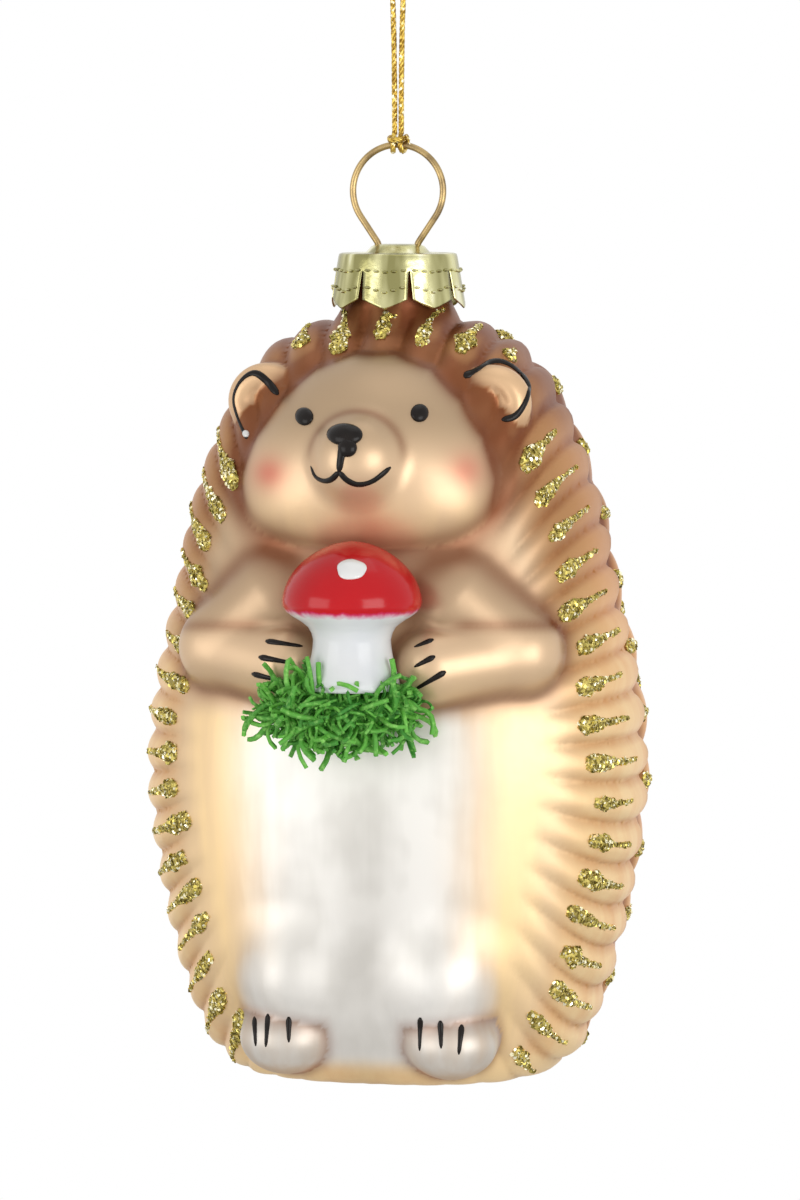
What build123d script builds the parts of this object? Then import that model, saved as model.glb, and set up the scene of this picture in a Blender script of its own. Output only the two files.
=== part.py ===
from build123d import *
import os
from math import acos, atan2, cos, hypot, pi, radians, sin, sqrt, tan

# A hollow blown-glass hedgehog that hangs by a gold cord from a crown cap, in millimetres.
# Heights are counted from the flat base, on the axis of the neck. -Y is the hedgehog's front.
# The finished pieces are lowered so that the origin is where a hook carries the cord's eye.

os.makedirs("parts", exist_ok=True)

# Mantle of quills: its outline as seen from the front
BODY_HEIGHT = 96.6
BASE_HALF_WIDTH = 20.5
HIP_HALF_WIDTH = 25.0
HIP_HEIGHT = 7.0
WAIST_HALF_WIDTH = 31.0
WAIST_HEIGHT = 38.4
SHOULDER_HALF_WIDTH = 27.0
SHOULDER_HEIGHT = 67.0
TEMPLE_HALF_WIDTH = 20.2
TEMPLE_HEIGHT = 86.6
CROWN_HALF_WIDTH = 13.6
CROWN_HEIGHT = 94.4
BASE_LEAN = (1, 0.9)

# Rows of quills from the face to the back: name, quills a side, whether they stand half a step over,
# then for each section its depth y, share of the width, lowered top, raised foot and swell of a quill
BORDER_Y = -14.0
QUILL_ROWS = (
    (
        "border",
        21,
        False,
        ((BORDER_Y, 0.83, 8.0, 5.0, 0.1), (-5.0, 0.98, 0.8, 0.4, 0.8), (3.0, 1.0, 0.0, 0.0, 0.9)),
    ),
    ("second", 13, True, ((1.0, 0.96, 2.0, 0.8, 0.7), (11.0, 0.95, 2.4, 1.6, 1.3))),
    ("third", 11, False, ((9.0, 0.88, 6.0, 4.0, 0.8), (18.0, 0.84, 8.4, 6.0, 1.5))),
    ("fourth", 8, True, ((16.0, 0.73, 14.0, 9.5, 0.8), (23.5, 0.66, 18.0, 13.5, 1.6))),
    ("back", 5, False, ((21.5, 0.5, 27.0, 20.0, 0.8), (27.0, 0.38, 34.0, 26.0, 1.6))),
    ("rump", 3, True, ((25.5, 0.26, 40.0, 31.0, 0.7), (29.5, 0.12, 46.0, 37.0, 1.0))),
)

# Smooth front of the glass: its flanks turn about two axes, inside the mantle
TRUNK_SIDE = 6.5
TRUNK_Y = -3.5
TRUNK_INSET = 4.0
TRUNK_END_INSET = 1.2
TRUNK_WIDEST = 43.0
TRUNK_TOP = 84.0
HEAD_AT = (0, -10.6, 78.6)
HEAD_RADIUS = 15.3
CHEEK_AT = (7.4, -13.4, 75.4)
CHEEK_RADIUS = 10.0
MUZZLE_AT = (0, -24.0, 80.4)
MUZZLE_RADIUS = 5.5
EAR_SIDE = 15.9
EAR_Y = -10.4
EAR_HEIGHT = 87.6
EAR_RADIUS = 5.4
EAR_STAND = 3.2
EAR_DISH_RADIUS = 5.2
EAR_DISH_DEPTH = 1.2
SHOULDER_AT = (11.0, -17.5, 60.0)
ELBOW_AT = (18.5, -17.0, 55.0)
PAW_AT = (9.4, -22.8, 55.2)
ARM_RADIUS = 5.4
THIGH_AT = (10.8, -14.6, 17.0)
THIGH_RADIUS = 9.8
FOOT_AT = (10.7, -17.9, 4.9)
FOOT_RADIUS = 5.5

# Hollow and neck
WALL = 1.0
HOLLOW_BANDS = 5
NECK_RADIUS = 6.7
NECK_WALL = 1.1
NECK_ROOT = 8.6
NECK_RISE = 8.5

# Crown cap of thin sheet
CAP_SHEET = 0.35
CAP_TOP_RADIUS = 7.65
CAP_SKIRT_RADIUS = 8.65
CAP_DEPTH = 5.4
PETALS = 8
PETAL_TIP = 1.2
PETAL_TIP_HALF = 1.5
SLIT_HEIGHT = 3.6
SLIT_TOP_WIDTH = 0.16
SLIT_FOOT_WIDTH = 0.6
BOSS_RADIUS = 4.1
BOSS_TOP_RADIUS = 3.4
BOSS_RISE = 1.1
WIRE_HOLE_CLEARANCE = 0.3

# Spring-wire hanger: a ring whose two legs pass through the cap and press on the neck's bore
WIRE = 0.85
RING_RADIUS = 5.9
RING_ABOVE_CAP = 7.0
WAIST_HALF = 2.4
WIRE_BEND = 1.4
LEG_DEPTH = 8.6
LEG_CLEARANCE = 0.08

# Cord: a hitch on the ring, and two strands from it to an eye for a hook
CORD = 0.72
HITCH_CLEARANCE = 0.13
BIGHT_RADIUS = 0.3
STRAND_GAP = 0.14
STRAND_RISE = 23.0
EYE_HALF_WIDTH = 2.6
EYE_FLARE = 4.0
EYE_SIDE = 5.2
ARC_SHARE = 0.45

# Mushroom, held against the chest
MUSHROOM_Y = -27.4
MUSHROOM_FOOT = 52.0
STEM_FOOT_RADIUS = 6.0
STEM_RADIUS = 4.7
STEM_HEIGHT = 9.6
STEM_LEAN = (-1, 3)
MUSHROOM_RADIUS = 8.7
MUSHROOM_RIM = 1.3
MUSHROOM_DOME = 7.4
SPOT_RADIUS = 1.9
SPOT_RISE = 0.5
SPOT_TILT = 44.0

# Moss under the mushroom
MOSS_HALF_SIZE = (10.6, 4.8, 5.4)
MOSS_AT = (-1.0, -26.0, 49.2)
MOSS_CLEARANCE = 0.3

# Raised enamel, and the glue line under it
GLUE = 0.02
EYE_SPREAD = 7.3
EYE_HEIGHT = 85.8
EYE_RADIUS = 1.25
NOSE_HALF_WIDTH = 1.1
NOSE_RADIUS = 1.3
NOSE_DROP = 3.4
NOSE_HEIGHT = 83.4
LINE_RADIUS = 0.36
MOUTH_HEIGHT = 79.2
MOUTH_HALF_WIDTH = 5.2
MOUTH_DIP = 1.6
EAR_LINE_RADIUS = 4.3
EAR_LINE_START = -45.0
EAR_LINE_SWEEP = 185.0
CLAW_RADIUS = 0.42
CLAW_STEPS = (-1, 0, 1)
PAW_CLAW_STEP = 2.1
PAW_CLAW_REACH = 3.0
FOOT_CLAW_STEP = 2.2
FOOT_CLAW_LOW = 0.8
FOOT_CLAW_HIGH = 3.9

# Glitter dabs along the quills
DAB_LENGTH = 5.0
DAB_RADIUS = 0.6
DAB_TOP_HALF = 0.3
DAB_GLUE = 0.05
DAB_HEAD = 1.5

ON_BASE = (Align.CENTER, Align.CENTER, Align.MIN)


def bead(radius, *points):
    """A round-ended bead of one radius along straight runs between points."""
    body = Pos(points[0]) * Sphere(radius)
    for start, end in zip(points, points[1:]):
        way = Vector(end) - Vector(start)
        run = Plane(origin=start, z_dir=way) * Cylinder(radius, way.length, align=ON_BASE)
        body = body + run + Pos(end) * Sphere(radius)
    return body


def ball(place, radius):
    return Pos(place) * Sphere(radius)


def both_sides(place):
    return [(side * place[0], place[1], place[2]) for side in (-1, 1)]


def front_of(centre, radius, x, z):
    """Depth of a ball's front surface at a width x and height z."""
    return centre[1] - sqrt(radius**2 - (x - centre[0]) ** 2 - (z - centre[2]) ** 2)


# Mantle
half_outline = Spline(
    (BASE_HALF_WIDTH, 0),
    (HIP_HALF_WIDTH, HIP_HEIGHT),
    (WAIST_HALF_WIDTH, WAIST_HEIGHT),
    (SHOULDER_HALF_WIDTH, SHOULDER_HEIGHT),
    (TEMPLE_HALF_WIDTH, TEMPLE_HEIGHT),
    (CROWN_HALF_WIDTH, CROWN_HEIGHT),
    (0, BODY_HEIGHT),
    tangents=(BASE_LEAN, (-1, 0)),
)


def valleys(count, staggered, section):
    """Valleys between one section's quills, from the right base corner over the crown to the left one."""
    _, width, lowered, raised, _ = section
    shares = [i / count for i in range(count + 1)]
    if staggered:
        shares = [0] + [(i + 0.5) / count for i in range(count)]
    stretch = (BODY_HEIGHT - lowered - raised) / BODY_HEIGHT
    right = [half_outline @ share for share in shares]
    right = [(p.X * width, raised + p.Y * stretch) for p in right]
    left = [(-x, z) for x, z in reversed(right)]
    return right + (left if staggered else left[1:])


def crest(start, end, swell):
    """Top of the quill between two valleys."""
    across, up = end[0] - start[0], end[1] - start[1]
    long = hypot(across, up)
    return ((start[0] + end[0]) / 2 + swell * up / long, (start[1] + end[1]) / 2 - swell * across / long)


def quill_section(count, staggered, section):
    points = valleys(count, staggered, section)
    arcs = [ThreePointArc(a, crest(a, b, section[4]), b) for a, b in zip(points, points[1:])]
    return Plane.XZ.offset(-section[0]) * make_face(Curve() + arcs + Line(points[-1], points[0]))


def quill_row(count, staggered, sections):
    return loft([quill_section(count, staggered, section) for section in sections], ruled=True)


def plain_section(y, width, lowered, raised):
    """The outline without quills, a wall's thickness inside a row's own section."""
    narrow = width - WALL / WAIST_HALF_WIDTH
    stretch = (BODY_HEIGHT - lowered - raised - 2 * WALL) / BODY_HEIGHT
    half = scale(half_outline, (narrow, stretch, 1))
    right = Pos(0, raised + WALL) * half
    left = mirror(right, Plane.YZ)
    return Plane.XZ.offset(-y) * make_face(Curve() + right + left + Line(left @ 0, right @ 0))


def mantle_hollow():
    rows = [row[3] for row in QUILL_ROWS]
    sections = [plain_section(BORDER_Y + WALL, *rows[0][0][1:4])]
    for row, behind in zip(rows, rows[1:]):
        sections.append(plain_section(row[-1][0] - WALL, *behind[0][1:4]))
    return loft(sections, ruled=True)


# Front forms
def trunk_from(side):
    """Half-round flanks about two axes and a plain run between them, from one side's curve."""
    low, high = side @ 0, side @ 1
    opposite = mirror(side, Plane.YZ)
    half = make_face(Curve() + side + Polyline((high.X, high.Y), (0, high.Y), (0, low.Y), (low.X, low.Y)))
    whole = make_face(Curve() + side + opposite + Line(high, opposite @ 1) + Line(low, opposite @ 0))
    flank = Pos(TRUNK_SIDE, TRUNK_Y, 0) * Rot(0, 0, -90) * revolve(Plane.XZ * half, Axis.Z, 180)
    across = Plane(origin=(TRUNK_SIDE, TRUNK_Y, 0), x_dir=(0, -1, 0), z_dir=(-1, 0, 0))
    return extrude(across * whole, 2 * TRUNK_SIDE) + flank + mirror(flank, Plane.YZ)


def trunk_side(grow):
    low = (BASE_HALF_WIDTH - TRUNK_END_INSET - TRUNK_SIDE + grow, 0)
    wide = (WAIST_HALF_WIDTH - TRUNK_INSET - TRUNK_SIDE + grow, TRUNK_WIDEST)
    high = (TEMPLE_HALF_WIDTH - TRUNK_END_INSET - TRUNK_SIDE + grow, TRUNK_TOP)
    return ThreePointArc(low, wide, high)


def trunk(grow=0):
    return trunk_from(trunk_side(grow))


def trunk_hollow():
    """Plain bands a wall's thickness inside the trunk."""
    side = trunk_side(-WALL)
    bands = [side @ (i / HOLLOW_BANDS) for i in range(HOLLOW_BANDS + 1)]
    return trunk_from(Polyline(*[(p.X, min(max(p.Y, WALL), TRUNK_TOP - WALL)) for p in bands]))


ear_ball_radius = (EAR_RADIUS**2 + EAR_STAND**2) / (2 * EAR_STAND)
EAR_AT = (EAR_SIDE, EAR_Y - EAR_STAND + ear_ball_radius, EAR_HEIGHT)
EAR_DISH_AT = (EAR_SIDE, EAR_Y - EAR_STAND + EAR_DISH_DEPTH - EAR_DISH_RADIUS, EAR_HEIGHT)


def face_balls(grow=0):
    balls = [ball(HEAD_AT, HEAD_RADIUS + grow), ball(MUZZLE_AT, MUZZLE_RADIUS + grow)]
    return balls + [ball(place, CHEEK_RADIUS + grow) for place in both_sides(CHEEK_AT)]


def arms(grow=0):
    joints = [both_sides(place) for place in (SHOULDER_AT, ELBOW_AT, PAW_AT)]
    return [bead(ARM_RADIUS + grow, *points) for points in zip(*joints)]


neck_top = BODY_HEIGHT + NECK_RISE


def neck_cylinder(radius):
    return Pos(0, 0, BODY_HEIGHT - NECK_ROOT) * Cylinder(radius, NECK_ROOT + NECK_RISE, align=ON_BASE)


roomy = 3 * BODY_HEIGHT
room = Box(roomy, roomy, roomy)
before_ears = Pos(0, EAR_Y - roomy / 2, 0) * room
below_base = Pos(0, 0, -roomy / 2) * room

glass = quill_row(*QUILL_ROWS[0][1:])
for row in QUILL_ROWS[1:]:
    glass = glass + quill_row(*row[1:])
ears = [ball(place, ear_ball_radius) & before_ears for place in both_sides(EAR_AT)]
ear_dishes = [ball(place, EAR_DISH_RADIUS) for place in both_sides(EAR_DISH_AT)]
legs = [ball(place, THIGH_RADIUS) for place in both_sides(THIGH_AT)]
feet = [ball(place, FOOT_RADIUS) for place in both_sides(FOOT_AT)]
neck = neck_cylinder(NECK_RADIUS)
glass = glass + [trunk()] + ears - ear_dishes + face_balls() + arms() + legs + feet + neck - below_base

bore_radius = NECK_RADIUS - NECK_WALL
bore = neck_cylinder(bore_radius)
hollow = mantle_hollow() + trunk_hollow() + ball(HEAD_AT, HEAD_RADIUS - WALL)
glass_body = glass - (hollow + bore)

# Crown cap
cap_top = neck_top + CAP_SHEET
cap_shoulder = neck_top - CAP_DEPTH
boss_top = cap_top + BOSS_RISE
tip_height = cap_shoulder - PETAL_TIP
hole = WIRE + 2 * WIRE_HOLE_CLEARANCE
outside = [
    (0, boss_top),
    (BOSS_TOP_RADIUS, boss_top),
    (BOSS_RADIUS, cap_top),
    (CAP_TOP_RADIUS - CAP_SHEET, cap_top),
    (CAP_TOP_RADIUS, neck_top),
    (CAP_SKIRT_RADIUS, tip_height),
]
inside = [
    (CAP_SKIRT_RADIUS - CAP_SHEET, tip_height),
    (CAP_TOP_RADIUS - CAP_SHEET, neck_top),
    (BOSS_RADIUS - CAP_SHEET, neck_top),
    (BOSS_TOP_RADIUS - CAP_SHEET, boss_top - CAP_SHEET),
    (0, boss_top - CAP_SHEET),
]
crown_cap = revolve(Plane.XZ * make_face(Polyline(*outside, *inside, outside[0])), Axis.Z)
half_petal = CAP_SKIRT_RADIUS * sin(pi / PETALS)
right_edge = [
    (SLIT_TOP_WIDTH / 2, cap_shoulder + SLIT_HEIGHT),
    (SLIT_FOOT_WIDTH / 2, cap_shoulder),
    (half_petal - PETAL_TIP_HALF, cap_shoulder),
    (half_petal, tip_height),
    (half_petal, tip_height - PETAL_TIP),
]
left_edge = [(-x, z) for x, z in reversed(right_edge)]
gap_face = Plane.XZ.offset(NECK_RADIUS) * make_face(Polyline(*right_edge, *left_edge, right_edge[0]))
petal_gap = extrude(gap_face, CAP_SKIRT_RADIUS)
for i in range(PETALS):
    crown_cap = crown_cap - Rot(0, 0, (i + 0.5) * 360 / PETALS) * petal_gap
for side in (-1, 1):
    crown_cap = crown_cap - Pos(side * WAIST_HALF, 0, cap_top) * Cylinder(hole / 2, 2 * BOSS_RISE + hole)

# Hanger wire
waist_height = boss_top - CAP_SHEET / 2
ring_height = waist_height + RING_ABOVE_CAP
ring_top = ring_height + RING_RADIUS
to_waist = atan2(-RING_ABOVE_CAP, WAIST_HALF)
leaves_ring = to_waist + acos(RING_RADIUS / hypot(RING_ABOVE_CAP, WAIST_HALF))
ring_end = (RING_RADIUS * cos(leaves_ring), ring_height + RING_RADIUS * sin(leaves_ring))
leg_end = (bore_radius - WIRE / 2 - LEG_CLEARANCE, waist_height - LEG_DEPTH)
right_leg = FilletPolyline(leg_end, (WAIST_HALF, waist_height), ring_end, radius=WIRE_BEND)
ring_arc = ThreePointArc(ring_end, (0, ring_top), (-ring_end[0], ring_end[1]))
left_leg = mirror(right_leg, Plane.YZ)
wire_path = Plane.XZ * (Curve() + right_leg + ring_arc + left_leg)
wire_line = Wire(wire_path.edges())
hanger_wire = sweep(Plane(origin=wire_line @ 0, z_dir=wire_line % 0) * Circle(WIRE / 2), path=wire_line)

# Cord hitch: two turns round the ring and the bight across them
turn_radius = WIRE / 2 + HITCH_CLEARANCE + CORD / 2
strand_side = (CORD + STRAND_GAP) / 2
hitch_top = ring_top + turn_radius + CORD / 2
cord_hitch = Pos(0, -turn_radius, ring_top) * Rot(0, 90, 0) * Cylinder(BIGHT_RADIUS, 2 * strand_side)
for side in (-1, 1):
    turn = Rot(0, 90, 0) * Torus(turn_radius, CORD / 2)
    cord_hitch = cord_hitch + Pos(side * strand_side, 0, ring_top) * turn

# Hanging cord: up one strand, round the eye and down the other
parting = hitch_top + STRAND_RISE
eye_top = parting + EYE_FLARE + EYE_SIDE
hang_height = eye_top - CORD / 2
rising = [
    (-strand_side, hitch_top + GLUE),
    (-strand_side, parting),
    (-EYE_HALF_WIDTH, parting + EYE_FLARE),
    (-EYE_HALF_WIDTH, eye_top),
]
route = rising + [(-x, z) for x, z in reversed(rising)]
runs = [Vector(b) - Vector(a) for a, b in zip(route, route[1:])]
bends = []
for before, after in zip(runs, runs[1:]):
    half_turn = radians(before.get_angle(after)) / 2
    bends.append(ARC_SHARE * min(before.length, after.length) / tan(half_turn))
cord_line = Wire((Plane.XZ * FilletPolyline(*route, radius=bends)).edges())
hanging_cord = sweep(Plane(origin=cord_line @ 0, z_dir=cord_line % 0) * Circle(CORD / 2), path=cord_line)
print("cord length", round(cord_line.length, 2), "bend radii", [round(bend, 2) for bend in bends])
print("cord volume", round(hanging_cord.volume, 3), "of", round(pi * CORD**2 / 4 * cord_line.length, 3))
print("heights: ring", round(ring_height, 3), "ring top", round(ring_top, 3), "hook", round(hang_height, 3))

# Mushroom
rim_height = MUSHROOM_FOOT + STEM_HEIGHT
dome_foot = rim_height + MUSHROOM_RIM
stem_side = Spline(
    (STEM_FOOT_RADIUS, MUSHROOM_FOOT),
    (STEM_RADIUS, rim_height),
    tangents=(STEM_LEAN, (0, 1)),
)
rim_side = ThreePointArc(
    (MUSHROOM_RADIUS - MUSHROOM_RIM, rim_height),
    (MUSHROOM_RADIUS - MUSHROOM_RIM * (1 - cos(pi / 4)), dome_foot - MUSHROOM_RIM * sin(pi / 4)),
    (MUSHROOM_RADIUS, dome_foot),
)
dome_side = EllipticalCenterArc((0, dome_foot), MUSHROOM_RADIUS, MUSHROOM_DOME, arc_size=90)
mushroom_half = make_face(
    Curve()
    + Polyline((0, MUSHROOM_FOOT), (STEM_FOOT_RADIUS, MUSHROOM_FOOT))
    + stem_side
    + Line((STEM_RADIUS, rim_height), (MUSHROOM_RADIUS - MUSHROOM_RIM, rim_height))
    + rim_side
    + dome_side
    + Line((0, dome_foot + MUSHROOM_DOME), (0, MUSHROOM_FOOT))
)
whole_mushroom = Pos(0, MUSHROOM_Y, 0) * revolve(Plane.XZ * mushroom_half, Axis.Z)
mushroom = whole_mushroom - ([trunk(GLUE)] + face_balls(GLUE) + arms(GLUE))
tilt = radians(SPOT_TILT)
spot_at = (0, MUSHROOM_Y - MUSHROOM_RADIUS * cos(tilt), dome_foot + MUSHROOM_DOME * sin(tilt))
spot_out = Vector(0, -MUSHROOM_DOME * cos(tilt), MUSHROOM_RADIUS * sin(tilt))
spot_ball = (SPOT_RADIUS**2 + SPOT_RISE**2) / (2 * SPOT_RISE)
spot_plane = Plane(origin=spot_at, z_dir=spot_out)
spot_disc = spot_plane * Cylinder(SPOT_RADIUS, 4 * SPOT_RISE)
spot_dome = spot_plane * Pos(0, 0, SPOT_RISE - spot_ball) * Sphere(spot_ball)
mushroom_spot = (spot_disc & spot_dome) - whole_mushroom

# Moss
moss_ball = Pos(MOSS_AT) * scale(Sphere(1), MOSS_HALF_SIZE)
stem_room = Pos(0, MUSHROOM_Y, MUSHROOM_FOOT - MOSS_CLEARANCE) * Cylinder(
    STEM_FOOT_RADIUS + MOSS_CLEARANCE, STEM_HEIGHT, align=ON_BASE
)
moss_tuft = moss_ball - ([trunk(MOSS_CLEARANCE)] + arms(MOSS_CLEARANCE) + [stem_room])

# Face enamel
eye_depth = front_of(HEAD_AT, HEAD_RADIUS, EYE_SPREAD, EYE_HEIGHT)
glued_face = face_balls(GLUE)
eyes = [ball(place, EYE_RADIUS) - glued_face for place in both_sides((EYE_SPREAD, eye_depth, EYE_HEIGHT))]
nose_front = front_of(MUZZLE_AT, MUZZLE_RADIUS, 0, NOSE_HEIGHT)
nose_foot = NOSE_HEIGHT - NOSE_DROP
nose_sides = both_sides((NOSE_HALF_WIDTH, nose_front, NOSE_HEIGHT))
stem_foot = (0, front_of(MUZZLE_AT, MUZZLE_RADIUS, 0, nose_foot), nose_foot)
nose_stem = bead(LINE_RADIUS, (0, nose_front, NOSE_HEIGHT), stem_foot)
nose = bead(NOSE_RADIUS, *nose_sides) + nose_stem - glued_face


def mouth_line(side):
    dip = MOUTH_HEIGHT - MOUTH_DIP
    halfway = side * MOUTH_HALF_WIDTH / 2
    middle = (0, front_of(MUZZLE_AT, MUZZLE_RADIUS, 0, MOUTH_HEIGHT), MOUTH_HEIGHT)
    lowest = (halfway, front_of(MUZZLE_AT, MUZZLE_RADIUS, halfway, dip), dip)
    corner_depth = front_of(HEAD_AT, HEAD_RADIUS, MOUTH_HALF_WIDTH, MOUTH_HEIGHT)
    line = ThreePointArc(middle, lowest, (side * MOUTH_HALF_WIDTH, corner_depth, MOUTH_HEIGHT))
    tube = sweep(Plane(origin=line @ 0, z_dir=line % 0) * Circle(LINE_RADIUS), path=line)
    return tube + ball(tuple(line @ 0), LINE_RADIUS) + ball(tuple(line @ 1), LINE_RADIUS)


mouth = mouth_line(-1) + mouth_line(1) - glued_face

ear_line_depth = front_of(EAR_AT, ear_ball_radius, EAR_SIDE + EAR_LINE_RADIUS, EAR_HEIGHT)
ear_line = Plane.XZ * CenterArc((EAR_SIDE, EAR_HEIGHT), EAR_LINE_RADIUS, EAR_LINE_START, EAR_LINE_SWEEP)
ear_line = Pos(0, ear_line_depth, 0) * ear_line
ear_tube = sweep(Plane(origin=ear_line @ 0, z_dir=ear_line % 0) * Circle(LINE_RADIUS), path=ear_line)
ear_tube = ear_tube + ball(tuple(ear_line @ 0), LINE_RADIUS) + ball(tuple(ear_line @ 1), LINE_RADIUS)
right_rim = ear_tube - ([ball(EAR_AT, ear_ball_radius + GLUE)] + glued_face)
ear_rims = [right_rim, mirror(right_rim, Plane.YZ)]


# Claws
def paw_claw(step):
    height = PAW_AT[2] + step * PAW_CLAW_STEP
    ends = []
    for inward in (0, PAW_CLAW_REACH):
        x = PAW_AT[0] - inward
        ends.append((x, front_of(PAW_AT, ARM_RADIUS, x, height), height))
    return bead(CLAW_RADIUS, *ends) - arms(GLUE)[1]


def foot_claw(step):
    x = FOOT_AT[0] + step * FOOT_CLAW_STEP
    heights = (FOOT_AT[2] + FOOT_CLAW_LOW, FOOT_AT[2] + FOOT_CLAW_HIGH)
    ends = [(x, front_of(FOOT_AT, FOOT_RADIUS, x, height), height) for height in heights]
    glued_leg = [ball(FOOT_AT, FOOT_RADIUS + GLUE), ball(THIGH_AT, THIGH_RADIUS + GLUE)]
    return bead(CLAW_RADIUS, *ends) - glued_leg


def with_mirror(solids):
    return solids + [mirror(solid, Plane.YZ) for solid in solids]


paw_claws = with_mirror([paw_claw(step) for step in CLAW_STEPS])
foot_claws = with_mirror([foot_claw(step) for step in CLAW_STEPS])

# Glitter
dab_corners = [(0, -DAB_RADIUS), (DAB_RADIUS, -DAB_TOP_HALF), (DAB_RADIUS, DAB_TOP_HALF), (0, DAB_RADIUS)]
dab_section = Pos(0, 0, DAB_HEAD) * make_face(Polyline(*dab_corners, dab_corners[0]))
beside_dabs = arms(DAB_GLUE) + [neck_cylinder(NECK_RADIUS + DAB_GLUE), ball(HEAD_AT, HEAD_RADIUS + DAB_GLUE)]


def section_chord(points, i):
    return Vector(points[i + 1][0] - points[i][0], 0, points[i + 1][1] - points[i][1]).normalized()


def glitter_row(count, staggered, sections, covered_to):
    """A dab along the crest of each quill, past the depth to which the row before covers it."""
    near, far = sections[0], sections[1]
    bare = min(1, (far[0] - covered_to) / (far[0] - near[0]))
    near_points, far_points = valleys(count, staggered, near), valleys(count, staggered, far)
    dabs = []
    for i in range(len(near_points) - 1):
        start = crest(near_points[i], near_points[i + 1], near[4])
        end = crest(far_points[i], far_points[i + 1], far[4])
        start, end = Vector(start[0], near[0], start[1]), Vector(end[0], far[0], end[1])
        along = (end - start).normalized()
        across = section_chord(near_points, i) + section_chord(far_points, i)
        out = across.cross(along).normalized()
        if out.dot(Vector(end.X, 0, end.Z - WAIST_HEIGHT)) < 0:
            out = -out
        length = min(DAB_LENGTH, bare * (end - start).length - DAB_GLUE)
        dab = loft([Vertex(0, 0, 0), dab_section, Vertex(0, 0, length)], ruled=True)
        place = Plane(origin=end - along * length + out * DAB_GLUE, x_dir=out, z_dir=along)
        dabs.append(place * dab - beside_dabs)
    return dabs


pieces = {
    "glass_body": glass_body,
    "crown_cap": crown_cap,
    "hanger_wire": hanger_wire,
    "cord_hitch": cord_hitch,
    "hanging_cord": hanging_cord,
    "mushroom": mushroom,
    "mushroom_spot": mushroom_spot,
    "moss_tuft": moss_tuft,
    "eyes": eyes,
    "nose": nose,
    "mouth": mouth,
    "ear_rims": ear_rims,
    "paw_claws": paw_claws,
    "foot_claws": foot_claws,
}
covered_to = BORDER_Y
for name, *row in QUILL_ROWS:
    pieces["glitter_" + name] = glitter_row(*row, covered_to)
    covered_to = row[-1][-1][0]
for name, piece in pieces.items():
    solids = piece if isinstance(piece, list) else [piece]
    solids = [Pos(0, 0, -hang_height) * solid for part in solids for solid in part.solids()]
    export_step(solids[0] if len(solids) == 1 else Compound(children=solids), f"parts/{name}.step")
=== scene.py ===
import math

import bpy
import numpy as np
from bpy.props import FloatProperty, FloatVectorProperty, IntProperty, PointerProperty
from mathutils import Matrix, Vector


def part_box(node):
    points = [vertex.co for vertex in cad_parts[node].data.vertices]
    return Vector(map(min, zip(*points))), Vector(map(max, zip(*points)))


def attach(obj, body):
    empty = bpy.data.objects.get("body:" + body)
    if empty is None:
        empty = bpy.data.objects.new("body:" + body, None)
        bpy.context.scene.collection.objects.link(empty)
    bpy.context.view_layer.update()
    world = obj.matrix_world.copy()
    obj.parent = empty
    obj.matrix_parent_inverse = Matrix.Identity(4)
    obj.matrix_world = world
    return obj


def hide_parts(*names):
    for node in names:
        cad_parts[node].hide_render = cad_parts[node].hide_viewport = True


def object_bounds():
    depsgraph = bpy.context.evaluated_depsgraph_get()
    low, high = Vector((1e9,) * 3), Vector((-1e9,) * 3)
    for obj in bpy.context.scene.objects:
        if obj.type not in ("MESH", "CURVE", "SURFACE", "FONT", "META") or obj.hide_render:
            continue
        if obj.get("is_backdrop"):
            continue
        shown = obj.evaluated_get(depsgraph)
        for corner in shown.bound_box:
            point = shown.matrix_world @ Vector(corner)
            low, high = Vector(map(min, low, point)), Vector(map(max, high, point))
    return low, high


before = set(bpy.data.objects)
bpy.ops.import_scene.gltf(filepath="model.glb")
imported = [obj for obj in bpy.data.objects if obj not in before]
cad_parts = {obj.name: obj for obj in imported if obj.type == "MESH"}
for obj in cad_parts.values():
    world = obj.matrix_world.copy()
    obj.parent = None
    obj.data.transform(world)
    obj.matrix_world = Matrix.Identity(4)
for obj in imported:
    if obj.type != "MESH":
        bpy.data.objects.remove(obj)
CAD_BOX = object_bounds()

bl_info = {
    "name": "Glass Hedgehog Ornament",
    "version": (1, 0, 0),
    "blender": (4, 5, 0),
    "location": "View3D > Sidebar > Hedgehog",
    "description": "Dresses the hanging glass hedgehog in glass, enamel, glitter, moss, metal and cord",
    "category": "Object",
}

# Sizes below are millimetres above the flat base, on the neck's axis; the frame's own unit is the metre
MM = 0.001
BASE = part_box("glass_body")[0].z
SEED = 7


def to_frame(points):
    """Millimetres above the base to the frame's metres."""
    return np.asarray(points, dtype=float) * MM + (0, 0, BASE)


def colour(name, text, value):
    return FloatVectorProperty(name=name, description=text, subtype="COLOR", size=3, min=0, max=1,
                               default=value)


def number(name, text, value, **more):
    return FloatProperty(name=name, description=text, default=value, **more)


# Settings that a user would change
class GlassSettings(bpy.types.PropertyGroup):
    cell: number("Cell", "Mesh cell of the glass, in mm", 0.55, min=0.3, max=2)
    quill_height: number("Quill height", "Height of a quill's crest, in mm", 1.1)
    pearl: colour("Pearl", "Lacquer of the belly", (0.91, 0.88, 0.83))
    # Cream is lacquer between belly and sides, and also carries painted highlights on the quills' crests and lower
    # cheeks and a painted bounce light along the base
    cream: colour("Cream", "Lacquer between belly and sides", (0.95, 0.69, 0.37))
    tan: colour("Tan", "Lacquer of the quills' roots", (0.84, 0.47, 0.20))
    copper: colour("Copper", "Lacquer of the quills", (0.72, 0.29, 0.075))
    # Brown is lacquer over the crown and upper quills, and painted shade in the grooves, at the rows' edges and in
    # the creases
    brown: colour("Brown", "Lacquer over the crown and in the grooves", (0.20, 0.055, 0.016))
    face: colour("Face", "Lacquer of the face and limbs", (0.72, 0.51, 0.32))
    blush: colour("Blush", "Powder on the cheeks", (0.66, 0.16, 0.11))


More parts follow.
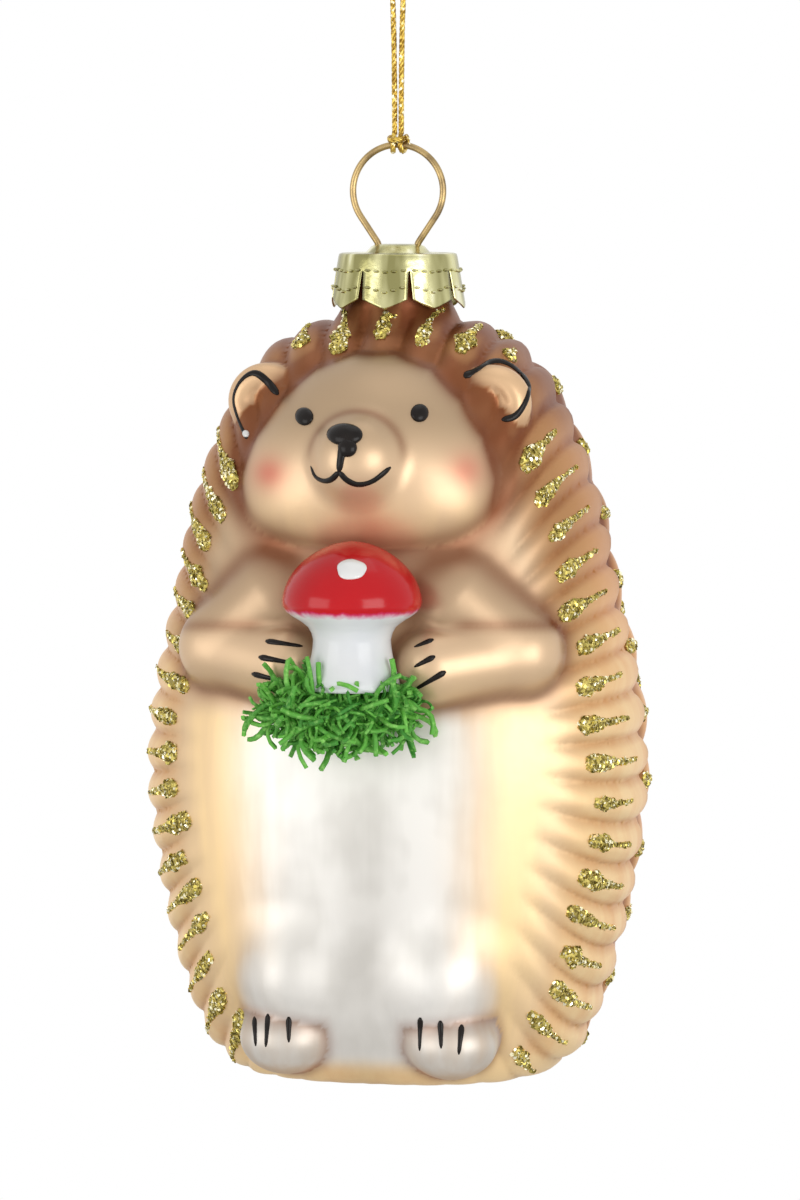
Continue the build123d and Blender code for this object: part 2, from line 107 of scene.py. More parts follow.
class TrimSettings(bpy.types.PropertyGroup):
    enamel: colour("Enamel", "Raised black enamel", (0.005, 0.004, 0.003))
    gold: colour("Glitter gold", "Glitter flakes", (0.74, 0.61, 0.17))
    flakes: number("Flakes", "Flakes on each square millimetre of glue", 9.0)
    flake_size: number("Flake size", "Glitter flake's radius, in mm", 0.24)
    red: colour("Mushroom red", "Lacquer of the mushroom's cap", (0.62, 0.003, 0.008))
    white: colour("Mushroom white", "Lacquer of the stem and spot", (0.86, 0.86, 0.84))
    moss: colour("Moss", "Dyed moss fibres", (0.17, 0.56, 0.07))
    fibres: number("Moss fibres", "Fibres on each square millimetre of the tuft", 2.2)


class HangerSettings(bpy.types.PropertyGroup):
    cap: colour("Cap", "Pressed sheet of the crown cap", (0.70, 0.67, 0.36))
    wire: colour("Wire", "Aged wire of the ring", (0.46, 0.33, 0.15))
    cord: colour("Cord", "Metallic yarn", (0.78, 0.56, 0.12))
    plies: IntProperty(name="Plies", description="Plies twisted into each strand", default=4, min=2, max=8)


class StageSettings(bpy.types.PropertyGroup):
    azimuth: number("Azimuth", "Camera's turn to the right, in degrees", 12.0)
    elevation: number("Elevation", "Camera's height above level, in degrees", 5.0)
    distance: number("Distance", "From the camera to the neck's axis", 0.7, unit="LENGTH")
    frame_height: number("View height", "Height of the view", 0.156, unit="LENGTH")
    key: number("Key light", "Power of the right softbox", 2.9, unit="POWER")
    fill: number("Fill light", "Power of the left softbox", 1.8, unit="POWER")
    top: number("Top light", "Power of the softbox overhead", 0.3, unit="POWER")


# Node building
class Value:
    """A node's output that takes part in arithmetic. Each operation adds one Math node."""

    def __init__(self, graph, socket):
        self.graph = graph
        self.socket = socket

    def maths(self, operation, *others):
        return self.graph.node("ShaderNodeMath", {"operation": operation}, dict(enumerate((self, *others))))

    def __add__(self, other):
        return self.maths("ADD", other)

    def __radd__(self, other):
        return self + other

    def __mul__(self, other):
        return self.maths("MULTIPLY", other)

    def __rmul__(self, other):
        return self * other

    def __sub__(self, other):
        return self.maths("SUBTRACT", other)

    def __rsub__(self, other):
        return self.graph.node("ShaderNodeMath", {"operation": "SUBTRACT"}, {0: other, 1: self})

    def clamped(self):
        return self.graph.node("ShaderNodeClamp", {}, {0: self})


class Graph:
    """Adds nodes to a tree and links them."""

    def __init__(self, tree):
        self.tree = tree

    def node(self, kind, settings, inputs, output=0):
        made = self.tree.nodes.new(kind)
        for key, value in settings.items():
            if key == "stops":
                ramp_stops(made.color_ramp, value)
            else:
                setattr(made, key, value)
        for key, value in inputs.items():
            target = made.inputs[key]
            if isinstance(value, Value):
                self.tree.links.new(value.socket, target)
            elif hasattr(target.default_value, "__len__") and len(target.default_value) == 4 and len(value) == 3:
                target.default_value = (*value, 1)
            else:
                target.default_value = value
        return Value(self, made.outputs[output]) if made.outputs else made


def ramp_stops(ramp, stops):
    while len(ramp.elements) < len(stops):
        ramp.elements.new(1)
    for element, (position, level) in zip(ramp.elements, stops):
        element.position = position
        element.color = (level, level, level, 1)


class Finish(Graph):
    """A material with one principled shader."""

    def __init__(self, name):
        self.material = bpy.data.materials.new(name)
        self.material.use_nodes = True
        super().__init__(self.material.node_tree)
        self.tree.nodes.clear()
        self.place = self.node("ShaderNodeTexCoord", {}, {}, output="Object")

    def close(self, **sockets):
        names = {key.replace("_", " ").title().replace("Ior", "IOR"): value for key, value in sockets.items()}
        shader = self.node("ShaderNodeBsdfPrincipled", {}, names)
        self.node("ShaderNodeOutputMaterial", {}, {"Surface": shader})
        return self.material

    def noise(self, scale, detail=3.0, stretch=(1, 1, 1)):
        where = self.node("ShaderNodeMapping", {}, {"Vector": self.place, "Scale": stretch})
        inputs = {"Vector": where, "Scale": scale, "Detail": detail}
        return self.node("ShaderNodeTexNoise", {}, inputs)

    def cells(self, scale):
        return self.node("ShaderNodeTexVoronoi", {}, {"Vector": self.place, "Scale": scale}, output="Color")

    def ramp(self, value, *stops):
        return self.node("ShaderNodeValToRGB", {"stops": stops}, {"Fac": value})

    def mask(self, name):
        return self.node("ShaderNodeAttribute", {"attribute_name": name}, {}, output="Fac")

    def mix(self, share, first, second, blend="MIX"):
        settings = {"data_type": "RGBA", "blend_type": blend}
        return self.node("ShaderNodeMix", settings, {0: share, 6: first, 7: second}, output=2)

    def bump(self, height, distance, strength=1.0):
        return self.node("ShaderNodeBump", {}, {"Strength": strength, "Distance": distance, "Height": height})

    def grey(self, colour_value):
        return self.node("ShaderNodeRGBToBW", {}, {0: colour_value})


# Mesh helpers
END_BULGE = 0.3


def make_object(name, points, faces, material, smooth=True):
    """An object from points already in the frame's metres."""
    mesh = bpy.data.meshes.new(name)
    mesh.from_pydata([tuple(p) for p in points], [], [tuple(int(i) for i in f) for f in faces])
    mesh.polygons.foreach_set("use_smooth", [smooth] * len(mesh.polygons))
    mesh.update()
    made = bpy.data.objects.new(name, mesh)
    bpy.context.scene.collection.objects.link(made)
    if material:
        mesh.materials.append(material)
    return made


def baked(source, name):
    """The evaluated object as a plain mesh object, in the source's place."""
    graph = bpy.context.evaluated_depsgraph_get()
    mesh = bpy.data.meshes.new_from_object(source.evaluated_get(graph), depsgraph=graph)
    data = source.data
    bpy.data.objects.remove(source)
    if isinstance(data, bpy.types.Mesh):
        bpy.data.meshes.remove(data)
    mesh.name = name
    made = bpy.data.objects.new(name, mesh)
    bpy.context.scene.collection.objects.link(made)
    return made


def finish_piece(piece, body, slot, *nodes):
    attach(piece, body)
    if nodes:
        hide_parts(*nodes)


def set_mask(piece, name, values):
    layer = piece.data.attributes.new(name, "FLOAT", "POINT")
    layer.data.foreach_set("value", np.asarray(values, dtype=np.float32))


def step(low, high, value):
    """A smooth step from 0 at low to 1 at high."""
    share = np.clip((value - low) / (high - low), 0, 1)
    return share * share * (3 - 2 * share)


def capped(first, rings, last):
    """Points and faces of rings between two poles, each ring anticlockwise seen from the first pole."""
    rings = np.asarray(rings, dtype=float)
    count, sides = rings.shape[:2]
    verts = [np.asarray(first, dtype=float), *rings.reshape(-1, 3), np.asarray(last, dtype=float)]
    faces = []
    for k in range(sides):
        after = (k + 1) % sides
        faces.append((0, 1 + k, 1 + after))
        for i in range(count - 1):
            low = 1 + i * sides
            faces.append((low + k, low + sides + k, low + sides + after, low + after))
        low = 1 + (count - 1) * sides
        faces.append((len(verts) - 1, low + after, low + k))
    return verts, faces


def tube(points, radii, sides, flat=1.0, normals=None):
    """A round-ended tube; flat squashes it along its normals."""
    points = np.asarray(points, dtype=float)
    radii = np.broadcast_to(radii, len(points)).astype(float)
    ahead = np.gradient(points, axis=0)
    ahead /= np.linalg.norm(ahead, axis=1)[:, None]
    if normals is None:
        normals = carried_normals(ahead)
    else:
        normals = normals - ahead * (normals * ahead).sum(1)[:, None]
        normals /= np.linalg.norm(normals, axis=1)[:, None]
    beside = np.cross(ahead, normals)
    turn = np.arange(sides) * 2 * math.pi / sides
    ring = np.cos(turn)[None, :, None] * beside[:, None]
    ring = ring + flat * np.sin(turn)[None, :, None] * normals[:, None]
    rings = points[:, None] + ring * radii[:, None, None]
    bulge = ahead * radii[:, None] * END_BULGE
    return capped(points[0] - bulge[0], rings, points[-1] + bulge[-1])


def carried_normals(ahead):
    """Normals carried along a line without twist."""
    start = np.cross(ahead[0], (0.0, 1.0, 0.0))
    if np.linalg.norm(start) < 0.1:
        start = np.cross(ahead[0], (1.0, 0.0, 0.0))
    normals = [start / np.linalg.norm(start)]
    for way in ahead[1:]:
        kept = normals[-1] - way * (normals[-1] @ way)
        normals.append(kept / np.linalg.norm(kept))
    return np.array(normals)


def joined(parts):
    """Several (points, faces) lists as one."""
    verts, faces = [], []
    for part_verts, part_faces in parts:
        shift = len(verts)
        verts += list(part_verts)
        faces += [tuple(i + shift for i in face) for face in part_faces]
    return verts, faces


def revolved(profile, sides, centre):
    """A profile of (radius, height) turned about an upright axis, from its top to its foot, both on the axis."""
    turn = np.arange(sides) * 2 * math.pi / sides
    around = np.stack([np.cos(turn), np.sin(turn), 0 * turn], 1)
    middle = np.array((*centre, 0.0))
    rings = [middle + radius * around + (0, 0, height) for radius, height in profile[1:-1]]
    return capped(middle + (0, 0, profile[0][1]), rings, middle + (0, 0, profile[-1][1]))


def smooth_line(points, count):
    """Evenly spread points on a smooth curve through a few points."""
    points = np.asarray(points, dtype=float)
    padded = np.vstack([2 * points[0] - points[1], points, 2 * points[-1] - points[-2]])
    spans = np.linspace(0, len(points) - 1, count)
    index = np.minimum(spans.astype(int), len(points) - 2)
    t = (spans - index)[:, None]
    a, b, c, d = (padded[index + i] for i in range(4))
    return 0.5 * (2 * b + (c - a) * t + (2 * a - 5 * b + 4 * c - d) * t**2 + (3 * b - a - 3 * c + d) * t**3)


# The glass as an implicit form
BODY_CENTRE = 45.0
HALF_OUTLINE = (
    (0.0, -14.0),
    (9.0, -12.4),
    (16.5, -5.5),
    (20.2, 0.0),
    (24.6, 7.0),
    (28.0, 17.6),
    (30.4, 31.0),
    (31.0, 40.0),
    (30.0, 50.0),
    (27.4, 62.0),
    (25.0, 74.0),
    (20.4, 86.0),
    (15.6, 92.4),
    (8.2, 96.0),
    (0.0, 97.0),
)
FRONT_DEPTH = 24.0
BACK_DEPTH = 28.6
SECTION_POWER = 2.4
BASE_ROUNDING = 4.0
# Rows of quills: quills a side, half a step over or not, from and to in degrees round from the front
QUILL_ROWS = (
    (21, 0.0, 40.0, 97.0),
    (13, 0.5, 95.0, 115.0),
    (11, 0.0, 112.0, 131.0),
    (8, 0.5, 128.0, 146.0),
    (5, 0.0, 143.0, 160.0),
    (3, 0.5, 157.0, 178.0),
)
TIP_DEGREES = 4.5
TIP_STEP = 0.35
TIP_FALL = (1.6, 1.0)
CREST_SHARE = 0.36
HEAD = ((0, -10.6, 78.6), (15.6, 15.0, 14.8))
CHEEK = ((7.4, -13.4, 75.4), (9.9, 9.9, 9.7))
MUZZLE = ((0, -24.0, 80.4), (5.6, 5.2, 5.4))
EAR = ((14.7, -11.4, 86.8), (4.9, 2.9, 4.9))
EAR_DISH = ((14.6, -17.4, 86.6), 4.8)
SHOULDER = ((11.2, -17.6, 62.0), 6.9)
ELBOW = ((19.0, -17.0, 56.0), 5.4)
PAW = ((9.4, -22.6, 54.5), 4.9)
THIGH = ((9.4, -15.5, 14.6), (7.4, 8.4, 8.6))
FOOT = ((10.7, -17.9, 6.4), (5.9, 5.3, 4.7))
NECK_RADIUS = 6.7
NECK_TOP = 105.0
# How softly each form runs into the others
SOFT = {
    "cheek": 4.0, "dish": 1.0, "elbow": 1.0, "thigh": 4.0, "arm": 1.6, "neck": 3.0,
    "muzzle": 2.0, "face": 0.9, "ear": 0.9, "foot": 1.4, "base": 1.0,
}
GRID_LOW = (-35.0, -33.0, -1.2)
GRID_HIGH = (35.0, 33.0, NECK_TOP + 1.2)

outline_curve = smooth_line(HALF_OUTLINE, 400)
outline_angle = np.arctan2(outline_curve[:, 0], outline_curve[:, 1] - BODY_CENTRE)[::-1]
outline_radius = np.hypot(outline_curve[:, 0], outline_curve[:, 1] - BODY_CENTRE)[::-1]
outline_steps = np.hypot(*np.diff(outline_curve[::-1], axis=0).T)
outline_run = np.concatenate([[0], np.cumsum(outline_steps)])
BASE_RUN = float(np.interp(0.0, outline_curve[:200, 1], outline_run[::-1][:200]))


def squared(across, up, power):
    """How far out the edge of a rounded square lies on a way across and up."""
    return (np.abs(across) ** power + np.abs(up) ** power) ** (-1 / power)


def ellipsoid(p, centre, radii):
    q = (p - np.asarray(centre)) / np.asarray(radii)
    near = np.sqrt((q * q).sum(-1))
    slope = np.sqrt(((q / np.asarray(radii)) ** 2).sum(-1))
    return near * (near - 1) / np.maximum(slope, 1e-6)


def capsule(p, start, end):
    (a, ra), (b, rb) = start, end
    a, b = np.asarray(a, dtype=float), np.asarray(b, dtype=float)
    along = b - a
    share = np.clip(((p - a) @ along) / (along @ along), 0, 1)
    return np.sqrt(((p - a - share[..., None] * along) ** 2).sum(-1)) - (ra + share * (rb - ra))


def unite(a, b, soft):
    share = np.clip(0.5 + 0.5 * (b - a) / soft, 0, 1)
    return b + (a - b) * share - soft * share * (1 - share)


def cut(a, b, soft):
    return -unite(-a, b, soft)


def mirrored(p):
    """Points with both sides folded onto the right one."""
    return np.concatenate([np.abs(p[..., :1]), p[..., 1:]], -1)


def body_polar(q):
    """Radial distance, share of the way round from the front in degrees, and run along the outline."""
    across, up, depth = q[..., 0], q[..., 2] - BODY_CENTRE, q[..., 1]
    angle = np.arctan2(across, up)
    reach = np.hypot(across, up) / np.interp(angle, outline_angle, outline_radius)
    deep = depth / np.where(depth < 0, FRONT_DEPTH, BACK_DEPTH)
    level = (reach**SECTION_POWER + np.abs(deep) ** SECTION_POWER) ** (1 / SECTION_POWER)
    distance = np.sqrt(across**2 + up**2 + depth**2)
    round_from_front = np.degrees(np.arctan2(reach, -deep))
    run = np.interp(angle, outline_angle, outline_run) / BASE_RUN
    return distance * (1 - 1 / np.maximum(level, 1e-3)), round_from_front, run


def level_turn(points):
    """Way round from the front at a point's own height, in degrees."""
    across, depth, height = np.abs(points[:, 0]), points[:, 1], points[:, 2]
    low, high = outline_curve[:, 1].argmin(), outline_curve[:, 1].argmax() + 1
    wide = np.interp(height, outline_curve[low:high, 1], outline_curve[low:high, 0])
    tall = np.interp(np.where(height < BODY_CENTRE, math.pi, 0), outline_angle, outline_radius)
    share = np.clip(np.abs(height - BODY_CENTRE) / tall, 0, 0.99)
    deep = np.where(depth < 0, FRONT_DEPTH, BACK_DEPTH) * (1 - share**SECTION_POWER) ** (1 / SECTION_POWER)
    return np.degrees(np.arctan2(across / np.maximum(wide, 1), -depth / deep))


def quill_relief(around, run, height):
    """Height of the overlapping quills, each row ending in rounded tips over the next."""
    relief = np.zeros_like(around)
    for count, over, start, end in QUILL_ROWS:
        lane = run * count + over
        beside = 2 * np.abs(lane - np.round(lane))
        share = np.clip((around - start) / (end - start), 0, 1)
        crest = height * (1 - beside**2) * step(0.0, CREST_SHARE, share)
        tip = end - TIP_DEGREES * beside**2
        fall = 1 - step(tip - TIP_FALL[0], tip + TIP_FALL[1], around)
        relief = np.maximum(relief, (crest + TIP_STEP * share) * fall)
    return relief


def glass_forms(p, quill_height):
    """Distances to the glass's main forms."""
    q = mirrored(p)
    body, around, run = body_polar(q)
    body = body - quill_relief(around, run, quill_height)
    body = cut(body, q[..., 2], BASE_ROUNDING)
    head = unite(ellipsoid(q, *HEAD), ellipsoid(q, *CHEEK), SOFT["cheek"])
    muzzle = ellipsoid(q, *MUZZLE)
    ear = cut(ellipsoid(q, *EAR), np.sqrt(((q - EAR_DISH[0]) ** 2).sum(-1)) - EAR_DISH[1], SOFT["dish"])
    arm = unite(capsule(q, SHOULDER, ELBOW), capsule(q, ELBOW, PAW), SOFT["elbow"])
    thigh = ellipsoid(q, *THIGH)
    foot = ellipsoid(q, *FOOT)
    neck = np.maximum(np.hypot(q[..., 0], q[..., 1]) - NECK_RADIUS, q[..., 2] - NECK_TOP)
    return {"body": body, "head": head, "muzzle": muzzle, "ear": ear, "arm": arm, "thigh": thigh, "foot": foot,
            "neck": neck, "around": around, "run": run}


def glass_distance(p, quill_height):
    form = glass_forms(p, quill_height)
    form["face"] = unite(form["head"], form["muzzle"], SOFT["muzzle"])
    whole = form["body"]
    for name in ("thigh", "arm", "neck", "face", "ear", "foot"):
        whole = unite(whole, form[name], SOFT[name])
    return cut(whole, p[..., 2], SOFT["base"])


def slope_of(p, quill_height, width=0.06):
    """Gradient of the glass's distance."""
    sides = []
    for axis in range(3):
        shift = np.zeros(3)
        shift[axis] = width
        sides.append(glass_distance(p + shift, quill_height) - glass_distance(p - shift, quill_height))
    return np.stack(sides, -1) / (2 * width)


def seated(p, quill_height, rounds=4):
    """Points moved onto the glass, with its outward normals there."""
    p = np.asarray(p, dtype=float)
    for _ in range(rounds):
        slope = slope_of(p, quill_height)
        p = p - slope * (glass_distance(p, quill_height) / np.maximum((slope**2).sum(-1), 0.05))[..., None]
    slope = slope_of(p, quill_height)
    return p, slope / np.linalg.norm(slope, axis=-1)[..., None]


def zero_level(values, low, cell):
    """Points and quads round the zero level of a grid of distances."""
    shape = np.array(values.shape) - 1
    owners, spots, quads = [], [], []
    for axis in range(3):
        near, far = [slice(None)] * 3, [slice(None)] * 3
        near[axis], far[axis] = slice(None, -1), slice(1, None)
        a, b = values[tuple(near)], values[tuple(far)]
        edges = np.argwhere((a < 0) != (b < 0))
        start, end = a[tuple(edges.T)], b[tuple(edges.T)]
        spot = edges.astype(float)
        spot[:, axis] += start / (start - end)
        u, v = [i for i in range(3) if i != axis]
        corners = []
        for du, dv in ((0, 0), (1, 0), (1, 1), (0, 1)):
            cell_index = edges.copy()
            cell_index[:, u] -= du
            cell_index[:, v] -= dv
            corners.append(np.ravel_multi_index(cell_index.T, shape))
        quad = np.stack(corners, 1)
        turned = (start < 0) != (axis == 1)
        quad[~turned] = quad[~turned, ::-1]
        owners += corners
        spots += [spot] * 4
        quads.append(quad)
    used, index = np.unique(np.concatenate(owners), return_inverse=True)
    spots = np.concatenate(spots)
    total = np.stack([np.bincount(index, spots[:, i]) for i in range(3)], 1)
    points = low + cell * (total / np.bincount(index)[:, None])
    return points, np.searchsorted(used, np.concatenate(quads))


def glass_mesh(settings):
    cell = settings.cell
    low, high = np.array(GRID_LOW), np.array(GRID_HIGH)
    counts = np.ceil((high - low) / cell).astype(int) + 1
    axes = [low[i] + cell * np.arange(counts[i]) for i in range(3)]
    values = np.empty(counts, dtype=np.float32)
    for i, x in enumerate(axes[0]):
        sheet = np.stack(np.meshgrid([x], axes[1], axes[2], indexing="ij"), -1)[0]
        values[i] = glass_distance(sheet, settings.quill_height)
    points, quads = zero_level(values, low, cell)
    points, _ = seated(points, settings.quill_height, 2)
    return points, quads


# Marks drawn on the glass, in millimetres across and up the front view
VIEW_CENTRE = (0.26, 60.5)
VIEW_START = 60.0
VIEW_STEPS = 60
DOME_SINK = 0.15
STROKE_END = 2.0
STROKE_LEAST = 0.12


def view_axes():
    stage = bpy.context.scene.hedgehog_stage
    a, e = math.radians(stage.azimuth), math.radians(stage.elevation)
    right = np.array((math.cos(a), math.sin(a), 0))
    up = np.array((-math.sin(a) * math.sin(e), math.cos(a) * math.sin(e), math.cos(e)))
    ahead = np.array((-math.sin(a) * math.cos(e), math.cos(a) * math.cos(e), -math.sin(e)))
    return right, up, ahead


def view_point():
    """The eye of the front view."""
    right, up, ahead = view_axes()
    reach = bpy.context.scene.hedgehog_stage.distance / MM
    return right * VIEW_CENTRE[0] + up * VIEW_CENTRE[1] - ahead * reach


def seen(points):
    """Points as marks of the front view."""
    right, up, ahead = view_axes()
    from_eye = points - view_point()
    scale = bpy.context.scene.hedgehog_stage.distance / MM / (from_eye @ ahead)
    return VIEW_CENTRE[0] + (from_eye @ right) * scale, VIEW_CENTRE[1] + (from_eye @ up) * scale


def on_glass(marks, quill_height):
    """Marks of the front view cast onto the glass, with normals."""
    right, up, _ = view_axes()
    marks = np.asarray(marks, dtype=float)
    target = marks[:, :1] * right + marks[:, 1:2] * up
    ray = target - view_point()
    ray /= np.linalg.norm(ray, axis=1)[:, None]
    p = target - VIEW_START * ray
    for _ in range(VIEW_STEPS):
        p = p + 0.8 * glass_distance(p, quill_height)[:, None] * ray
    return seated(p, quill_height, 2)


def enamel_stroke(marks, widths, quill_height, flat=0.55, sides=10, grain=0.35):
    """A bead of enamel along a few marks, thick where the brush pressed."""
    marks = np.asarray(marks, dtype=float)
    length = np.hypot(*np.diff(marks, axis=0).T).sum()
    count = max(6, int(length / grain))
    line = smooth_line(marks, count)
    width = np.interp(np.linspace(0, 1, count), np.linspace(0, 1, len(widths)), widths)
    from_end = np.minimum(np.arange(count), np.arange(count)[::-1]) / STROKE_END
    ends = np.sqrt(np.clip(1 - (1 - np.clip(from_end, 0, 1)) ** 2, STROKE_LEAST, 1))
    points, normals = on_glass(line, quill_height)
    return tube(to_frame(points), width * ends * MM, sides, flat, normals)


def enamel_dome(mark, radii, quill_height, rise, rings=7, sides=24):
    """A domed drop of enamel."""
    turn = np.arange(sides) * 2 * math.pi / sides
    lean = np.linspace(0, math.pi / 2, rings + 1)[1:]
    across = mark[0] + radii[0] * np.outer(np.sin(lean), np.cos(turn))
    up = mark[1] + radii[1] * np.outer(np.sin(lean), np.sin(turn))
    lift = np.repeat(np.cos(lean), sides)
    lift[-sides:] = -DOME_SINK
    marks = np.stack([across.ravel(), up.ravel()], 1)
    points, normals = on_glass(np.vstack([[mark], marks, [mark]]), quill_height)
    lift = np.concatenate([[1.0], lift, [-DOME_SINK]])
    points = to_frame(points + normals * (rise * lift)[:, None])
    return capped(points[0], points[1:-1].reshape(rings, sides, 3), points[-1])


# Finishes
PEARL_SHADE = (0.77, 0.74, 0.69)
# Grey multiplied over the glass: painted shade in the creases and on parts kept darker than the lamps leave them
SHADE_GREY = (0.56, 0.55, 0.53)


def pearl_lacquer(settings):
    paint = Finish("pearl_lacquer")
    cloud = paint.noise(110.0, 2.0)
    streak = paint.noise(300.0, 3.0, stretch=(1.0, 1.0, 0.14))
    fine = paint.noise(900.0, 2.0)
    clouded = paint.ramp(cloud * 0.7 + streak * 0.3, (0.38, 0.0), (0.56, 1.0))
    white = paint.mix(clouded, PEARL_SHADE, settings.pearl)
    body = paint.mix(paint.mask("tan"), settings.face, settings.tan)
    body = paint.mix(paint.mask("copper"), body, settings.copper)
    pearl = paint.mask("pearl")
    brushed = (pearl + (streak - 0.5) * pearl * (1 - pearl) * 5.0).clamped()
    body = paint.mix(brushed, body, white)
    # Cream lacquer, with painted highlights on the lower quills' crests and the lower cheeks and a painted bounce
    # light along the base
    body = paint.mix((paint.mask("cream") * (0.1 + streak * 1.5)).clamped(), body, settings.cream)
    body = paint.mix(paint.mask("blush"), body, settings.blush)
    # Painted shade: darker in the valley between the knees, along the legs' edges, on the chest under the chin, on
    # the upper arms and over the top of the face; the feet are greyed too, more at their tops
    body = paint.mix(paint.mask("smoke"), body, SHADE_GREY, "MULTIPLY")
    # Brown lacquer on the crown, and painted shade in the grooves between quills, at the rows' edges and in the
    # creases round face, arms, ears, feet, muzzle and elbows
    body = paint.mix((paint.mask("brown") * (0.75 + cloud * 0.5)).clamped(), body, settings.brown)
    rough = 0.31 + pearl * 0.08 + cloud * 0.12 + fine * 0.06
    return paint.close(base_color=body, roughness=rough, metallic=0.45, specular_ior_level=0.3,
                       normal=paint.bump(cloud, 0.00012, 0.4))


def black_enamel(settings):
    paint = Finish("black_enamel")
    worn = paint.noise(700.0, 3.0)
    tone = paint.mix(worn, settings.enamel, (0.018, 0.013, 0.011))
    return paint.close(base_color=tone, roughness=0.16 + worn * 0.16, specular_ior_level=0.18,
                       normal=paint.bump(worn, 0.00006, 0.5))


def glitter_bed(settings):
    paint = Finish("glitter_bed")
    spark = paint.grey(paint.cells(3000.0))
    body = paint.mix(paint.ramp(spark, (0.35, 0.0), (0.75, 1.0)), (0.16, 0.115, 0.02), settings.gold)
    return paint.close(base_color=body, metallic=0.6, roughness=0.4 + spark * 0.2)


def glitter_leaf(settings):
    paint = Finish("glitter_leaf")
    shade = paint.mask("shade")
    body = paint.mix(paint.ramp(shade, (0.25, 0.0), (0.6, 1.0)), (0.33, 0.27, 0.055), settings.gold)
    # Painted sparkle: flakes with the highest random value turn near-white as highlights
    body = paint.mix(paint.ramp(shade, (0.70, 0.0), (0.82, 1.0)), body, (1.0, 0.95, 0.70))
    return paint.close(base_color=body, metallic=0.85, roughness=0.14 + shade * 0.12)


def mushroom_lacquer(settings):
    paint = Finish("mushroom_lacquer")
    feather = paint.noise(900.0, 4.0, stretch=(1, 1, 0.35))
    line = paint.mask("red") + (feather - 0.5) * 0.35
    stain = paint.ramp(line, (0.30, 0.0), (0.50, 1.0))
    soft = paint.noise(160.0, 2.0)
    white = paint.mix(soft, settings.white, (0.74, 0.76, 0.80))
    pink = paint.mix(paint.ramp(line, (0.12, 0.0), (0.42, 1.0)), white, (0.72, 0.06, 0.24))
    deep = paint.mix(soft, settings.red, (0.50, 0.003, 0.008))
    return paint.close(base_color=paint.mix(stain, pink, deep), roughness=0.12 + soft * 0.08,
                       specular_ior_level=0.3, normal=paint.bump(soft, 0.0001, 0.3))


def white_enamel(settings):
    paint = Finish("white_enamel")
    soft = paint.noise(600.0, 3.0)
    tone = paint.mix(paint.ramp(soft, (0.62, 0.0), (0.72, 1.0)), settings.white, (0.55, 0.53, 0.52))
    return paint.close(base_color=tone, roughness=0.14 + soft * 0.1, coat_weight=0.6, coat_roughness=0.05)


def moss_fibre(settings):
    paint = Finish("moss_fibre")
    shade = paint.mask("shade")
    fleck = paint.noise(1500.0, 3.0)
    tone = paint.mix(shade, (0.035, 0.24, 0.02), settings.moss)
    tone = paint.mix(paint.ramp(fleck, (0.5, 0.0), (0.75, 1.0)), tone, (0.32, 0.70, 0.16))
    return paint.close(base_color=tone, roughness=0.55 + fleck * 0.2, normal=paint.bump(fleck, 0.00005, 0.5))


def cap_sheet(settings):
    paint = Finish("cap_sheet")
    blotch = paint.noise(230.0, 4.0)
    # Painted reflections: upright dark and bright bands stand in for a studio mirrored in the pressed sheet; the
    # blotch noise mottles them
    panel = paint.noise(330.0, 2.0, stretch=(1, 1, 0.18))
    tone = paint.mix(paint.ramp(panel, (0.40, 0.0), (0.58, 1.0)), (0.30, 0.28, 0.115), settings.cap)
    painted_reflection = paint.ramp(panel * 0.7 + blotch * 0.3, (0.54, 0.0), (0.66, 1.0))
    tone = paint.mix(painted_reflection, tone, (0.97, 0.95, 0.78))
    return paint.close(base_color=tone, metallic=1.0, roughness=0.13 + blotch * 0.18,
                       normal=paint.bump(blotch, 0.0003, 0.5))


def aged_wire(settings):
    paint = Finish("aged_wire")
    tarnish = paint.noise(420.0, 4.0)
    drawn = paint.noise(2600.0, 2.0, stretch=(0.15, 1, 0.15))
    tone = paint.mix(paint.ramp(tarnish, (0.42, 0.0), (0.66, 1.0)), settings.wire, (0.24, 0.17, 0.085))
    return paint.close(base_color=tone, metallic=1.0, roughness=0.24 + tarnish * 0.2 + drawn * 0.06,
                       normal=paint.bump(drawn, 0.00003, 0.5))


def metallic_yarn(settings):
    paint = Finish("metallic_yarn")
    wrap = paint.cells(2600.0)
    spark = paint.grey(wrap)
    tone = paint.mix(paint.ramp(spark, (0.3, 0.0), (0.7, 1.0)), (0.34, 0.20, 0.03), settings.cord)
    # Painted sparkle: the brightest cells turn near-white as highlights on the yarn
    tone = paint.mix(paint.ramp(spark, (0.76, 0.0), (0.84, 1.0)), tone, (0.98, 0.92, 0.66))
    return paint.close(base_color=tone, metallic=0.9, roughness=0.22 + spark * 0.22)


# Glass: where each lacquer and the painted bounce light along the base lie, in degrees round from the front or
# millimetres above the base
BELLY_EDGE = (17, 42)
BELLY_TOP = (50.5, 46.5)
# The base band is a painted bounce light along the base, in peach and cream
BASE_BAND = (5.0, 2.0)
CREAM_BAND = (39, 10.0)
QUILL_EDGE = (46, 60)
COPPER_EDGE = (60, 86)
LEVEL_BLEND = (40.0, 22.0)
# Powder on the cheeks and chin: its middle and size across and up the front view, and its strength
POWDER = (
    (-16.8, 77.0, 2.19, 2.19, 0.75),
    (8.9, 77.4, 2.345, 2.345, 0.6),
    (-3.6, 69.5, 2.2, 3.0, 0.3),
)


def fold(first, second, width):
    """1 where two values meet, fading over a width."""
    return np.exp(-(((first - second) / width) ** 2))


